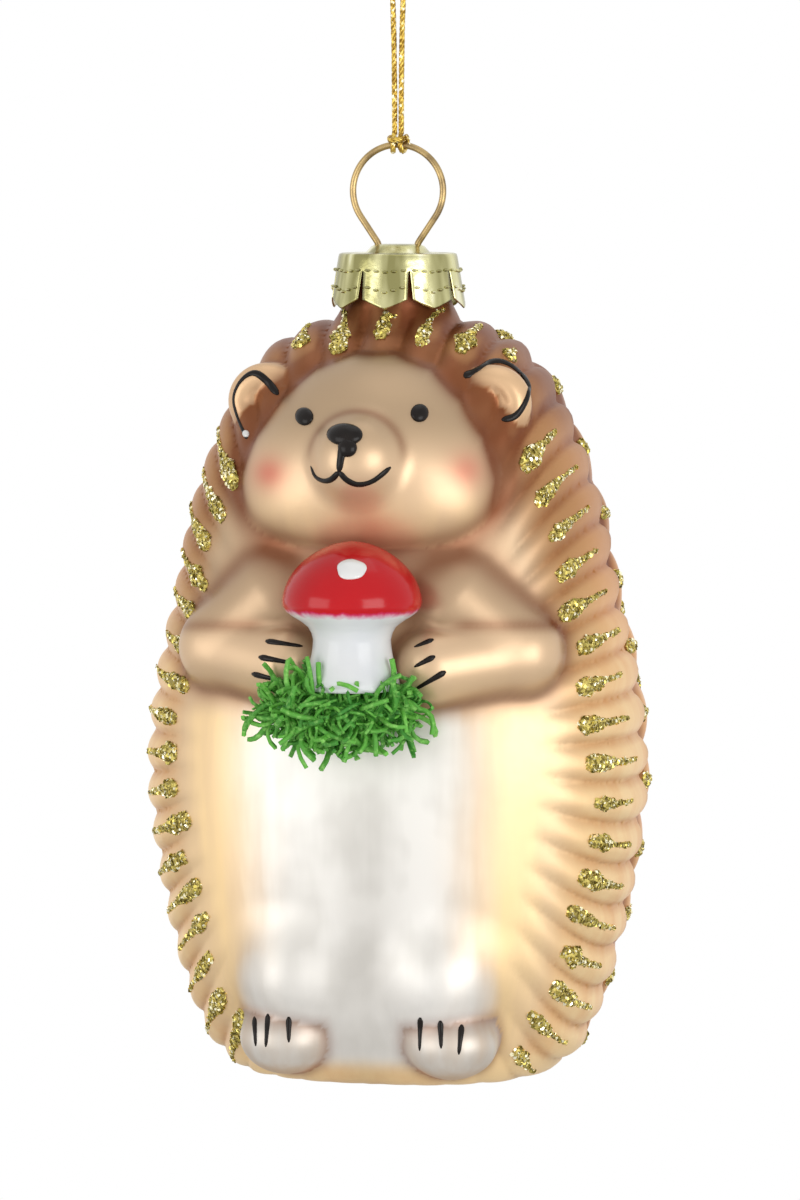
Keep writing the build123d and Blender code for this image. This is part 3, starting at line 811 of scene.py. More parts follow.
def paint_masks(piece, points, settings):
    """Where each lacquer lies, and where painted shade, painted highlights and painted bounce light lie, as soft
    masks from the forms.
    """
    form = glass_forms(points, settings.quill_height)
    around, run, height = form["around"], form["run"], points[:, 2]
    crest = np.clip(quill_relief(around, run, settings.quill_height) / (0.85 * settings.quill_height), 0, 1)
    row_edge = np.max([fold(around, row[3], 3.2) for row in QUILL_ROWS], axis=0)
    around = around + (level_turn(points) - around) * step(*LEVEL_BLEND, height)
    across, rise = seen(points)
    face = np.minimum(form["head"], form["muzzle"])
    limbs = np.minimum(form["arm"], form["foot"])
    body = np.minimum(form["body"], form["thigh"])
    nearest = np.stack([body, face, form["ear"], limbs]).argmin(0)
    on_body, on_face, on_ear, on_limb = (nearest == k for k in range(4))
    on_arm = on_limb & (form["arm"] < form["foot"])
    on_foot = on_limb & ~on_arm
    quills = step(*QUILL_EDGE, around) * on_body
    crown = step(78, 92, height) * step(56, 84, around) * on_body
    low_body = step(*BELLY_TOP, height)
    base_band = step(*BASE_BAND, height)
    # Painted shade in the creases where face, arms, muzzle and elbows meet the forms beside them
    face_rim = fold(face, np.minimum(body, form["ear"]), 1.8)
    arm_rim = fold(form["arm"], body, 1.8)
    muzzle_ring = fold(form["muzzle"], form["head"], 0.8) * step(79.0, 82.5, height) * on_face
    elbow_fold = fold(rise, 57.2, 0.9) * on_limb * step(11.0, 14.0, np.abs(points[:, 0]))
    powder = sum(strength * fold(across, x, wide) * fold(rise, z, tall) for x, z, wide, tall, strength in POWDER)
    knee = np.minimum(form["thigh"], form["foot"])
    # Painted shade in the valley between the knees, the furrow above it and along the legs' edges
    valley = fold(across, -4.2, 4.6) * step(36.0, 24.0, rise) * step(-0.5, 1.6, knee)
    furrow = fold(across, -3.9, 1.8) * step(20.0, 34.0, rise)
    leg_edge = fold(form["thigh"], 0.5, 1.3) * step(1.0, 3.0, form["foot"])
    leg = step(1.4, -0.2, form["thigh"]) * step(3.0, 7.0, height)
    masks = {
        "pearl": on_body * low_body * np.maximum((1 - step(*BELLY_EDGE, around)) * step(1.5, 4.0, height), leg)
        + 0.75 * on_foot * step(2.0, 4.0, height),
        # Cream lacquer between belly and sides; its crest term is a painted highlight on the quills' crests, its
        # face term a painted highlight on the lower cheeks, its base band a painted bounce light; it is also lighter
        # on the lower arms
        "cream": on_body * low_body * (0.95 * fold(around, *CREAM_BAND) * (1 - leg) + 0.85 * base_band)
        + on_body * quills * (0.25 + 0.75 * crest) * step(116, 78, around) * step(70, 44, height)
        + 0.6 * on_face * step(78.5, 71.0, height)
        + 0.3 * on_arm * step(55.5, 51.0, height),
        # The base band's tan is painted bounce light along the base; the quills' tan is lacquer
        "tan": np.maximum(quills, 0.3 * on_ear + 0.7 * on_body * base_band),
        # Copper lacquer of the quills, lessened on the crests and deepened in the grooves as painted highlight and
        # painted shade
        "copper": on_body
        * np.clip(step(*COPPER_EDGE, around) * (0.95 - 0.45 * crest) + 0.5 * quills * (1 - crest), 0, 1)
        + 0.6 * on_foot * fold(form["foot"], body, 2.2),
        "blush": on_face * powder,
        # Painted shade in the knees' valley and furrow, at the legs' edges, over the top of the face, on the upper
        # arms and on the chest under the chin; the feet are greyed too, more at their tops
        "smoke": np.clip(
            on_body * low_body * (0.4 * valley + 0.12 * furrow + 0.2 * leg_edge)
            + 0.75 * on_face * step(79.0, 86.0, height)
            + on_foot * (0.4 + 0.4 * step(6.5, 9.5, height))
            + 0.5 * on_arm * step(56.5, 61.0, height)
            + 0.6 * on_body * step(51.0, 58.0, height) * step(80, 55, around),
            0,
            1,
        ),
        # Brown lacquer on the crown and upper quills; the rest is painted shade in the creases, in the grooves
        # between quills and under the rows' edges
        "brown": np.clip(
            0.8 * face_rim * step(68.0, 80.0, height)
            + 0.55 * face_rim
            + 0.62 * arm_rim
            + 0.45 * fold(form["foot"], body, 1.1)
            + 0.3 * fold(form["ear"], np.minimum(body, face), 1.0)
            + 0.55 * muzzle_ring
            + 0.5 * elbow_fold
            + 0.36 * quills * (1 - crest)
            + 0.42 * row_edge * on_body
            + 0.4 * quills * step(56, 74, height)
            + crown * (0.9 - 0.35 * crest),
            0,
            0.92,
        ),
    }
    for name, values in masks.items():
        set_mask(piece, name, values)


class HEDGEHOG_OT_glass(bpy.types.Operator):
    """Blow the glass body and spray its lacquers"""

    bl_idname = "hedgehog.glass"
    bl_label = "Glass body"

    def execute(self, context):
        settings = context.scene.hedgehog_glass
        points, quads = glass_mesh(settings)
        piece = make_object("lacquered_glass", to_frame(points), quads, pearl_lacquer(settings))
        paint_masks(piece, points, settings)
        finish_piece(piece, "hedgehog", "pearl_glass", "glass_body")
        return {"FINISHED"}


# Enamel marks, in millimetres across and up the front view
EYES = ((-12.17, 84.34), (2.8, 84.79))
EYE_RADIUS = 1.18
EYE_RISE = 0.6
NOSE = ((-6.9, 81.95), (2.35, 1.42))
NOSE_TIP = ((-6.55, 80.3), (1.25, 1.25))
NOSE_RISES = (0.8, 0.75)
NOSE_STEM = ((-7.1, 80.6), (-7.45, 78.9), (-7.7, 77.1))
NOSE_STEM_WIDTHS = (0.7, 0.5, 0.42)
MOUTH = (
    ((-11.35, 77.9), (-10.7, 76.5), (-9.5, 75.95), (-8.5, 76.3), (-7.7, 77.2)),
    ((-7.7, 77.2), (-6.6, 76.05), (-5.1, 75.5), (-3.2, 76.0), (-0.95, 77.75)),
)
MOUTH_WIDTHS = ((0.3, 0.36, 0.4), (0.4, 0.42, 0.36, 0.4))
LEFT_EAR_LINE = (
    (-15.6, 87.2), (-17.0, 88.9), (-18.5, 90.0), (-19.8, 89.6), (-20.9, 88.3), (-21.4, 86.6),
    (-21.0, 84.6), (-20.1, 82.4), (-19.6, 81.5),
)
LEFT_EAR_WIDTHS = (0.5, 0.5, 0.45, 0.34, 0.26, 0.22, 0.22, 0.26, 0.34)
RIGHT_EAR_LINE = (
    (8.6, 89.5), (10.2, 90.4), (12.2, 91.5), (13.9, 91.4), (15.5, 90.4), (16.8, 88.9),
    (17.0, 87.5), (16.3, 85.7), (15.2, 84.4), (13.5, 83.9),
)
RIGHT_EAR_WIDTHS = (0.66, 0.55, 0.48, 0.42, 0.38, 0.36, 0.36, 0.4, 0.44, 0.46)
PAW_CLAWS = (
    ((-17.2, 55.2), (-12.4, 54.5)), ((-18.1, 53.1), (-13.7, 52.3)), ((-19.0, 50.9), (-14.4, 49.8)),
    ((4.6, 55.4), (2.1, 54.4)), ((4.8, 53.2), (2.1, 51.8)), ((6.2, 51.2), (2.3, 48.9)),
)
FOOT_CLAWS = (
    ((-18.7, 6.3), (-18.5, 2.5)), ((-16.9, 6.7), (-17.2, 2.4)), ((-14.2, 6.3), (-14.2, 3.0)),
    ((2.9, 6.2), (2.8, 1.9)), ((5.5, 5.8), (5.6, 2.2)), ((8.3, 5.3), (7.9, 1.4)),
)
CLAW_WIDTHS = (0.46, 0.36, 0.27, 0.24)
# A painted glint: a white dome on the left ear rim's lower end, standing in for a highlight on the black enamel
GLINT = ((-19.75, 82.1), (0.42, 0.5))
GLINT_RISE = 0.35


class HEDGEHOG_OT_enamel(bpy.types.Operator):
    """Lay the raised enamel: eyes, nose, mouth, ear rims and claws"""

    bl_idname = "hedgehog.enamel"
    bl_label = "Enamel marks"

    def execute(self, context):
        height = context.scene.hedgehog_glass.quill_height
        black = black_enamel(context.scene.hedgehog_trim)
        white = white_enamel(context.scene.hedgehog_trim)

        def stroke(marks, widths):
            return enamel_stroke(marks, widths, height)

        nose = [enamel_dome(*drop, height, rise) for drop, rise in zip((NOSE, NOSE_TIP), NOSE_RISES)]
        drawn = {
            "eyes": [enamel_dome(eye, (EYE_RADIUS, EYE_RADIUS), height, EYE_RISE) for eye in EYES],
            "nose": nose + [stroke(NOSE_STEM, NOSE_STEM_WIDTHS)],
            "mouth": [stroke(*half) for half in zip(MOUTH, MOUTH_WIDTHS)],
            "ear_rims": [stroke(LEFT_EAR_LINE, LEFT_EAR_WIDTHS), stroke(RIGHT_EAR_LINE, RIGHT_EAR_WIDTHS)],
            "paw_claws": [stroke(claw, CLAW_WIDTHS) for claw in PAW_CLAWS],
            "foot_claws": [stroke(claw, CLAW_WIDTHS) for claw in FOOT_CLAWS],
        }
        for node, parts in drawn.items():
            piece = make_object("enamel_" + node, *joined(parts), black)
            finish_piece(piece, "hedgehog", "black_enamel", node)
        # The painted glint, a white dome in white enamel's finish
        glint = make_object("enamel_glint", *enamel_dome(*GLINT, height, GLINT_RISE), white)
        finish_piece(glint, "hedgehog", "white_enamel")
        return {"FINISHED"}


# Mushroom
MUSHROOM_Y = -27.4
MUSHROOM_FOOT = 52.0
RED_EDGE = 62.2
RED_BLEND = 2.4
DOME_FOOT = 62.9
DOME_RADIUS = 8.7
DOME_RISE = 7.5
DOME_POWER = 1.82
DOME_RINGS = 25
TURNED_SIDES = 72
UNDER_CAP = ((8.6, 62.3), (8.2, 61.7), (7.4, 61.1), (6.4, 60.5), (5.5, 59.8), (5.05, 59.0), (4.85, 58.2))
STEM = ((4.9, 57.3), (5.05, 56.3), (5.3, 55.2), (5.6, 54.1), (5.9, 53.0), (6.05, 52.3), (5.9, 52.0))
SPOT_TILT = 39.5
SPOT_TURN = 12.0
SPOT_SIZE = (1.95, 1.6)
SPOT_RINGS = 6
SPOT_SIDES = 28
SPOT_LIFT = 0.42
SPOT_SINK = 0.12


def dome_point(rise, lift):
    """Radius and height on the mushroom's dome at an angle above its rim."""
    across, up = np.cos(rise), np.sin(rise)
    size = squared(across, up, DOME_POWER)
    return (DOME_RADIUS * size + lift) * across, DOME_FOOT + (DOME_RISE * size + lift) * up


class HEDGEHOG_OT_mushroom(bpy.types.Operator):
    """Turn the mushroom and its white spot"""

    bl_idname = "hedgehog.mushroom"
    bl_label = "Mushroom"

    def execute(self, context):
        settings = context.scene.hedgehog_trim
        dome = [dome_point(t, 0.0) for t in np.linspace(math.pi / 2, 0, DOME_RINGS)]
        profile = [*dome, *UNDER_CAP, *STEM, (0.0, MUSHROOM_FOOT)]
        verts, faces = revolved(profile, TURNED_SIDES, (0, MUSHROOM_Y))
        piece = make_object("mushroom_turned", to_frame(verts), faces, mushroom_lacquer(settings))
        heights = np.array(verts)[:, 2]
        set_mask(piece, "red", np.clip(0.5 + (heights - RED_EDGE) / RED_BLEND, 0, 1))
        finish_piece(piece, "hedgehog", "mushroom_lacquer", "mushroom")
        spot = make_object("mushroom_white_spot", *self.spot(), white_enamel(settings))
        finish_piece(spot, "hedgehog", "white_enamel", "mushroom_spot")
        return {"FINISHED"}

    def spot(self):
        """A ragged round of white on the dome."""
        turn = np.arange(SPOT_SIDES) * 2 * math.pi / SPOT_SIDES
        ragged = 1 + 0.05 * np.sin(3 * turn + 0.7) + 0.03 * np.sin(5 * turn)
        lean = np.linspace(0, math.pi / 2, SPOT_RINGS + 1)[1:]
        rings = [self.on_dome(math.sin(t) * ragged * np.cos(turn), math.sin(t) * ragged * np.sin(turn),
                              SPOT_LIFT * math.cos(t)) for t in lean[:-1]]
        rings.append(self.on_dome(ragged * np.cos(turn), ragged * np.sin(turn), -SPOT_SINK))
        ends = [to_frame(self.on_dome(0, 0, lift)) for lift in (SPOT_LIFT, -SPOT_SINK)]
        return capped(ends[0], to_frame(rings), ends[1])

    def on_dome(self, across, up, lift):
        """A point of the spot, above the dome by lift."""
        tilt = math.radians(SPOT_TILT)
        rise = tilt + SPOT_SIZE[1] * up / DOME_RISE
        turned = math.radians(SPOT_TURN) + SPOT_SIZE[0] * across / (DOME_RADIUS * math.cos(tilt))
        radius, height = dome_point(rise, lift)
        return np.stack([radius * np.sin(turned), MUSHROOM_Y - radius * np.cos(turned), height], -1)


# Shapes set out by Geometry Nodes
SCATTER_INPUTS = {
    "Density": "Float", "Tilt": "Vector", "Least size": "Float", "Most size": "Float", "Seed": "Int",
}


class Setting(Graph):
    """A tree with named inputs that sets small shapes out on a surface."""

    def __init__(self, name, inputs):
        super().__init__(bpy.data.node_groups.new(name, "GeometryNodeTree"))
        face = self.tree.interface
        face.new_socket("Surface", in_out="INPUT", socket_type="NodeSocketGeometry")
        self.keys = {}
        for label, kind in {**inputs, "Finish": "Material"}.items():
            socket = face.new_socket(label, in_out="INPUT", socket_type="NodeSocket" + kind)
            self.keys[label] = socket.identifier
        face.new_socket("Shapes", in_out="OUTPUT", socket_type="NodeSocketGeometry")
        self.given = self.tree.nodes.new("NodeGroupInput")

    def wanted(self, label):
        return Value(self, self.given.outputs[label])

    def end(self, made):
        """Ends the tree with a plain mesh in the wanted finish."""
        real = self.node("GeometryNodeRealizeInstances", {}, {0: made})
        done = self.node("GeometryNodeSetMaterial", {}, {0: real, "Material": self.wanted("Finish")})
        self.node("NodeGroupOutput", {}, {0: done})

    def applied(self, name, surface, **wanted):
        """The shapes on a copy of a surface, as a plain mesh object."""
        holder = bpy.data.objects.new(name, surface.data.copy())
        bpy.context.scene.collection.objects.link(holder)
        modifier = holder.modifiers.new(name, "NODES")
        modifier.node_group = self.tree
        for label, value in wanted.items():
            modifier[self.keys[label.replace("_", " ").capitalize()]] = value
        return baked(holder, name)


class Scatter(Setting):
    """A tree that scatters small shapes, each tilted and sized at random."""

    def __init__(self, name):
        super().__init__(name, SCATTER_INPUTS)

    def chance(self, kind, least, most, turn):
        slot, output = {"FLOAT": (2, 1), "FLOAT_VECTOR": (0, 0), "INT": (4, 2)}[kind]
        inputs = {slot: least, slot + 1: most, 8: self.wanted("Seed") + turn}
        return self.node("FunctionNodeRandomValue", {"data_type": kind}, inputs, output=output)

    def scatter(self, shapes):
        """Ends the tree: one of the shapes on each point of the surface."""
        inputs = {"Mesh": self.wanted("Surface"), "Density": self.wanted("Density"), "Seed": self.wanted("Seed")}
        spread = self.node("GeometryNodeDistributePointsOnFaces", {}, inputs)
        stands = Value(self, spread.socket.node.outputs["Rotation"])
        store = {"data_type": "FLOAT", "domain": "POINT"}
        shaded = self.node("GeometryNodeStoreNamedAttribute", store,
                           {"Geometry": spread, "Name": "shade", "Value": self.chance("FLOAT", 0.0, 1.0, 1)})
        tilt = self.wanted("Tilt")
        back = self.node("ShaderNodeVectorMath", {"operation": "SCALE"}, {0: tilt, "Scale": -1.0})
        lean = self.chance("FLOAT_VECTOR", back, tilt, 2)
        turned = self.node("FunctionNodeRotateRotation", {"rotation_space": "LOCAL"}, {0: stands, 1: lean})
        size = self.chance("FLOAT", self.wanted("Least size"), self.wanted("Most size"), 3)
        picked = self.chance("INT", 0, len(shapes) - 1, 4)
        join = self.tree.nodes.new("GeometryNodeJoinGeometry")
        for shape in shapes:
            whole = self.node("GeometryNodeGeometryToInstance", {}, {0: shape})
            self.tree.links.new(whole.socket, join.inputs[0])
        set_out = {"Points": shaded, "Instance": Value(self, join.outputs[0]), "Pick Instance": True,
                   "Instance Index": picked, "Rotation": turned, "Scale": size}
        self.end(self.node("GeometryNodeInstanceOnPoints", {}, set_out))


# Moss
MOSS_AT = (-1.3, -28.2, 49.7)
MOSS_HALF = (8.6, 4.8, 2.5)
MOSS_LUMP = 0.16
MOSS_RINGS = 16
MOSS_SIDES = 32
FIBRE_LENGTH = 2.3
FIBRE_RADIUS = 0.2
FIBRE_ROOT = 0.15
FIBRE_SIZES = (0.4, 1.85)
FIBRE_TILT = (1.1, 1.1, math.pi)
FIBRE_BENDS = (
    ((0.6, 0.2, 0.7), (-0.1, 0.3, 1.0)),
    ((-0.7, -0.2, 0.55), (0.3, -0.5, 0.9)),
    ((0.25, -0.5, 0.75), (0.95, 0.1, 0.6)),
    ((-0.3, 0.4, 0.6), (-0.25, -0.3, 1.25)),
)


class HEDGEHOG_OT_moss(bpy.types.Operator):
    """Glue on the tuft of moss"""

    bl_idname = "hedgehog.moss"
    bl_label = "Moss tuft"

    def execute(self, context):
        settings = context.scene.hedgehog_trim
        fibre = moss_fibre(settings)
        core = make_object("moss_core", *self.core(), fibre)
        # The cushion takes the fibres' darkest tone, as painted shade deep in the tuft between the fibres
        set_mask(core, "shade", np.full(len(core.data.vertices), 0.1))
        tree = Scatter("moss_fibres")
        tree.scatter([self.fibre(tree, *bend) for bend in FIBRE_BENDS])
        tuft = tree.applied("moss_fibres", core, density=settings.fibres / MM**2, tilt=FIBRE_TILT,
                            least_size=FIBRE_SIZES[0], most_size=FIBRE_SIZES[1], seed=SEED, finish=fibre)
        finish_piece(core, "hedgehog", "moss_fibre", "moss_tuft")
        finish_piece(tuft, "hedgehog", "moss_fibre")
        return {"FINISHED"}

    def core(self):
        """A lumpy cushion under the fibres."""
        turn = np.arange(MOSS_SIDES) * 2 * math.pi / MOSS_SIDES
        rings = []
        for down in np.linspace(0, math.pi, MOSS_RINGS + 1)[1:-1]:
            out, up = math.sin(down), math.cos(down)
            lump = 1 + MOSS_LUMP * np.sin(3 * turn + 2 * down) * out * np.cos(2 * down + turn)
            way = np.stack([out * np.cos(turn), out * np.sin(turn), 0 * turn + up], 1)
            rings.append(np.array(MOSS_AT) + np.array(MOSS_HALF) * lump[:, None] * way)
        top = np.array((0, 0, MOSS_HALF[2]))
        return capped(to_frame(MOSS_AT + top), to_frame(rings), to_frame(MOSS_AT - top))

    def fibre(self, tree, middle, end):
        """One curled fibre, standing on its point."""
        reach = FIBRE_LENGTH * MM
        settings = {"Start": (0, 0, -FIBRE_ROOT * reach), "Middle": [reach * value for value in middle],
                    "End": [reach * value for value in end], "Resolution": 5}
        line = tree.node("GeometryNodeCurveQuadraticBezier", {}, settings)
        ring = tree.node("GeometryNodeCurvePrimitiveCircle", {}, {"Resolution": 4, "Radius": FIBRE_RADIUS * MM})
        return tree.node("GeometryNodeCurveToMesh", {}, {0: line, 1: ring, "Fill Caps": True})


# Glitter
GLITTER_NODES = (
    "glitter_border", "glitter_second", "glitter_third", "glitter_fourth", "glitter_back", "glitter_rump",
)
DAB_SHARES = ((0.21, 0.60), (0.16, 0.72))
CROWN_SHIFT = 0.18
CROWN_RUN = (0.08, 0.26)
RIGHT_SHIFT = 0.06
DAB_WIDTHS = (0.7, 1.15, 1.1, 0.66, 0.42, 0.34, 0.32, 0.28, 0.22)
DAB_FLAT = 0.36
FLAKE_DEPTH = 0.04
FLAKE_SIZES = (0.6, 1.3)
FLAKE_TILT = (0.9, 0.9, math.pi)
DAB_POINTS = 13
DAB_LEAST = 5
DAB_LOWEST = 1.2
DAB_CLEAR = 0.25
EAR_CLEAR = 2.6


def mantle_point(run, around, side):
    """The mantle's point at a share of its outline and a way round from the front, in degrees."""
    angle = np.interp(run * BASE_RUN, outline_run, outline_angle)
    radius = np.interp(angle, outline_angle, outline_radius)
    turn = np.radians(around)
    size = squared(np.sin(turn), np.cos(turn), SECTION_POWER)
    reach, deep = np.sin(turn) * size, -np.cos(turn) * size
    depth = deep * np.where(deep < 0, FRONT_DEPTH, BACK_DEPTH)
    across = side * reach * radius * np.sin(angle)
    return np.stack([across, depth, BODY_CENTRE + reach * radius * np.cos(angle)], -1)


class HEDGEHOG_OT_glitter(bpy.types.Operator):
    """Run glue along the quills and strew glitter in it"""

    bl_idname = "hedgehog.glitter"
    bl_label = "Glitter dabs"

    def execute(self, context):
        settings = context.scene.hedgehog_trim
        height = context.scene.hedgehog_glass.quill_height
        bed = glitter_bed(settings)
        leaf = glitter_leaf(settings)
        tree = Scatter("glitter_flakes")
        leaf_size = {"Vertices": 5, "Radius": settings.flake_size * MM, "Depth": FLAKE_DEPTH * MM}
        tree.scatter([tree.node("GeometryNodeMeshCylinder", {"fill_type": "NGON"}, leaf_size)])
        chance = np.random.default_rng(SEED)
        for row, node in enumerate(GLITTER_NODES):
            dabs = [dab for line in self.lines(row) for dab in self.dab(line, height, chance)]
            glue = make_object(node + "_bed", *joined(dabs), bed)
            flakes = tree.applied(node + "_flakes", glue, density=settings.flakes / MM**2,
                                  tilt=FLAKE_TILT, least_size=FLAKE_SIZES[0], most_size=FLAKE_SIZES[1],
                                  seed=SEED + row, finish=leaf)
            finish_piece(glue, "hedgehog", "gold_glitter", node)
            finish_piece(flakes, "hedgehog", "gold_glitter")
        return {"FINISHED"}

    def lines(self, row):
        """Each quill's crest as its share of the outline, its side and its row's bounds."""
        count, over, start, end = QUILL_ROWS[row]
        for side in (-1, 1):
            for quill in range(0 if side > 0 and not over else 1, count + 1):
                yield (quill - over) / count, side, start, end

    def dab(self, line, height, chance):
        """One dab, where the crest is bare glass."""
        run, side, start, end = line
        shift, stretch, girth = chance.uniform(-0.05, 0.05), chance.uniform(0.8, 1.1), chance.uniform(0.85, 1.2)
        wander = chance.uniform(-0.05, 0.05)
        border = start == QUILL_ROWS[0][2]
        near, far = DAB_SHARES[0 if border else 1]
        if border:
            shift += RIGHT_SHIFT * side + CROWN_SHIFT * (1 - step(*CROWN_RUN, run))
        first = start + (end - start) * (near + shift)
        last = first + (end - start) * (far - near) * stretch
        around = np.linspace(first, last, DAB_POINTS)
        points = mantle_point(run + wander * np.linspace(-1, 1, DAB_POINTS) / 40, around, side)
        points, normals = seated(points, height)
        form = glass_forms(points, height)
        others = [form[name] for name in ("head", "muzzle", "arm", "foot")] + [form["ear"] - EAR_CLEAR]
        bare = (np.min(others, axis=0) > DAB_CLEAR) & (points[:, 2] > DAB_LOWEST)
        if bare.sum() < DAB_LEAST:
            return
        kept = np.flatnonzero(bare)
        kept = np.arange(kept[0], kept[-1] + 1)
        share = np.linspace(0, 1, len(kept))
        ragged = chance.uniform(0.7, 1.25, DAB_POINTS)[: len(kept)]
        widths = np.interp(share, np.linspace(0, 1, len(DAB_WIDTHS)), DAB_WIDTHS) * girth * ragged
        yield tube(to_frame(points[kept]), widths * MM, 10, DAB_FLAT, normals[kept])


# Cap
CAP_SHEET = 0.2
CAP_TOP = 105.45
CAP_TOP_RADIUS = 7.65
CAP_SKIRT_RADIUS = 8.65
CAP_SHOULDER = 99.7
BOSS_RADIUS = 4.1
BOSS_TOP_RADIUS = 3.4
BOSS_RISE = 1.1
PETALS = 8
PETAL_COLUMNS = 14
PETAL_TIP = 1.25
SLIT_TOP = 103.3
SLIT_WIDTH = (0.24, 0.8)
PETAL_DISH = 0.12
TIP_POWER = 1.15
SKIRT_TOP = CAP_TOP - 0.9
SKIRT_ROWS = 18
WELD_GAP = 0.01
DOT_ROWS = (103.15, 100.6)
DOTS_A_PETAL = 5
DOT_REACH = 0.96
DOT_RADIUS = 0.42
DOT_FLAT = 0.5


class HEDGEHOG_OT_cap(bpy.types.Operator):
    """Press the petalled cap and age the wire ring"""

    bl_idname = "hedgehog.cap"
    bl_label = "Cap and ring"

    def execute(self, context):
        settings = context.scene.hedgehog_hanger
        sheet = cap_sheet(settings)
        shell = make_object("cap_shell", *self.shell(), sheet)
        weld = shell.modifiers.new("weld", "WELD")
        weld.merge_threshold = WELD_GAP * MM
        wall = shell.modifiers.new("wall", "SOLIDIFY")
        wall.thickness = CAP_SHEET * MM
        wall.offset = -1
        cap = baked(shell, "pressed_cap")
        finish_piece(cap, "hanger", "cap_metal", "crown_cap")
        dots = self.dots(sheet)
        finish_piece(dots, "hanger", "cap_metal")
        wire = bpy.data.objects["hanger_wire"]
        aged = aged_wire(settings)
        for place in wire.material_slots:
            place.material = aged
        return {"FINISHED"}

    def shell(self):
        """One sheet: boss, flat top, and a skirt slit into petals."""
        crown = CAP_TOP + BOSS_RISE
        rows = (
            (0.0, crown), (BOSS_TOP_RADIUS - 0.5, crown), (BOSS_TOP_RADIUS, crown - 0.25),
            (BOSS_RADIUS, CAP_TOP + 0.1), (BOSS_RADIUS + 0.3, CAP_TOP), (CAP_TOP_RADIUS - 0.5, CAP_TOP),
            (CAP_TOP_RADIUS - 0.12, CAP_TOP - 0.12), (CAP_TOP_RADIUS, CAP_TOP - 0.5),
        )
        heights = np.linspace(SKIRT_TOP, CAP_SHOULDER - PETAL_TIP, SKIRT_ROWS)
        width = PETAL_COLUMNS + 1
        step_angle = 2 * math.pi / PETALS
        parts = []
        for petal in range(PETALS):
            verts, faces = [], []
            for radius, height in rows:
                for j in range(width):
                    turn = (petal + j / PETAL_COLUMNS - 0.5) * step_angle
                    verts.append((radius * math.sin(turn), -radius * math.cos(turn), height))
            for height in heights:
                verts += [self.petal_point(petal, 2 * j / PETAL_COLUMNS - 1, height) for j in range(width)]
            for i in range(len(verts) // width - 1):
                for j in range(PETAL_COLUMNS):
                    a = i * width + j
                    faces.append((a, a + width, a + width + 1, a + 1))
            parts.append((to_frame(verts), faces))
        return joined(parts)

    def petal_point(self, petal, across, height):
        """A point of the skirt: across is -1 to 1 over one petal."""
        lowest = CAP_SHOULDER - PETAL_TIP * max(0.0, 1 - abs(across) ** TIP_POWER)
        share = (SKIRT_TOP - height) / (SKIRT_TOP - CAP_SHOULDER + PETAL_TIP)
        height = SKIRT_TOP + (lowest - SKIRT_TOP) * share
        down = np.clip((SLIT_TOP - height) / (SLIT_TOP - CAP_SHOULDER), 0, 1.3)
        slit = (SLIT_WIDTH[0] + (SLIT_WIDTH[1] - SLIT_WIDTH[0]) * down) if height < SLIT_TOP else 0.0
        drop = (CAP_TOP - 0.5 - height) / (CAP_TOP - CAP_SHOULDER)
        radius = CAP_TOP_RADIUS + (CAP_SKIRT_RADIUS - CAP_TOP_RADIUS) * drop
        radius -= PETAL_DISH * down * (1 - across**2) * (1 + 0.8 * math.sin(2.3 * petal))
        half = math.pi / PETALS - slit / 2 / radius
        turn = petal * 2 * math.pi / PETALS + across * half
        return radius * math.sin(turn), -radius * math.cos(turn), height

    def dots(self, sheet):
        """Rows of embossed dots round the skirt."""
        tree = Setting("cap_dots", {"Dot radius": "Float"})
        size = {"Segments": 8, "Rings": 6, "Radius": tree.wanted("Dot radius")}
        ball = tree.node("GeometryNodeMeshUVSphere", {}, size)
        outward = tree.node("GeometryNodeInputNormal", {}, {})
        stands = tree.node("FunctionNodeAlignRotationToVector", {"axis": "Z"}, {"Vector": outward})
        set_out = {"Points": tree.wanted("Surface"), "Instance": ball, "Rotation": stands, "Scale": (1, 1, DOT_FLAT)}
        tree.end(tree.node("GeometryNodeInstanceOnPoints", {}, set_out))
        spots = [self.petal_point(petal, DOT_REACH * ((2 * k + 1) / DOTS_A_PETAL - 1), height)
                 for height in DOT_ROWS for petal in range(PETALS) for k in range(DOTS_A_PETAL)]
        places = make_object("dot_places", to_frame(spots), [], None)
        dots = tree.applied("cap_dots", places, dot_radius=DOT_RADIUS * MM, finish=sheet)
        bpy.data.objects.remove(places)
        return dots


# Cord: its route in millimetres across and up
CORD_ROUTE = (
    (-0.43, 120.57), (-0.43, 143.55), (-2.6, 147.55), (-2.6, 152.75),
    (2.6, 152.75), (2.6, 147.55), (0.43, 143.55), (0.43, 120.57),
)
PLY_PITCH = 3.0
PLY_RADIUS = 0.19
CORD_GRAIN = 0.25
HITCH_GRAIN = 0.16
FRAYS = 4
FRAY_RADIUS = 0.07
HITCH_ROUTE = (
    (0.43, 0.0, 120.75), (0.43, -0.62, 120.1), (0.45, -0.84, 119.25), (0.55, -0.5, 118.6), (0.68, 0.2, 118.45),
    (0.85, 0.78, 119.0), (0.98, 0.72, 119.75), (0.98, 0.1, 120.15), (0.9, -0.72, 120.0), (0.62, -1.3, 119.85),
    (0.0, -1.55, 119.9),
)
FRAY = ((1.0, -0.9, 120.2), (1.35, -1.2, 120.35), (1.6, -1.3, 120.1), (1.8, -1.35, 119.6))


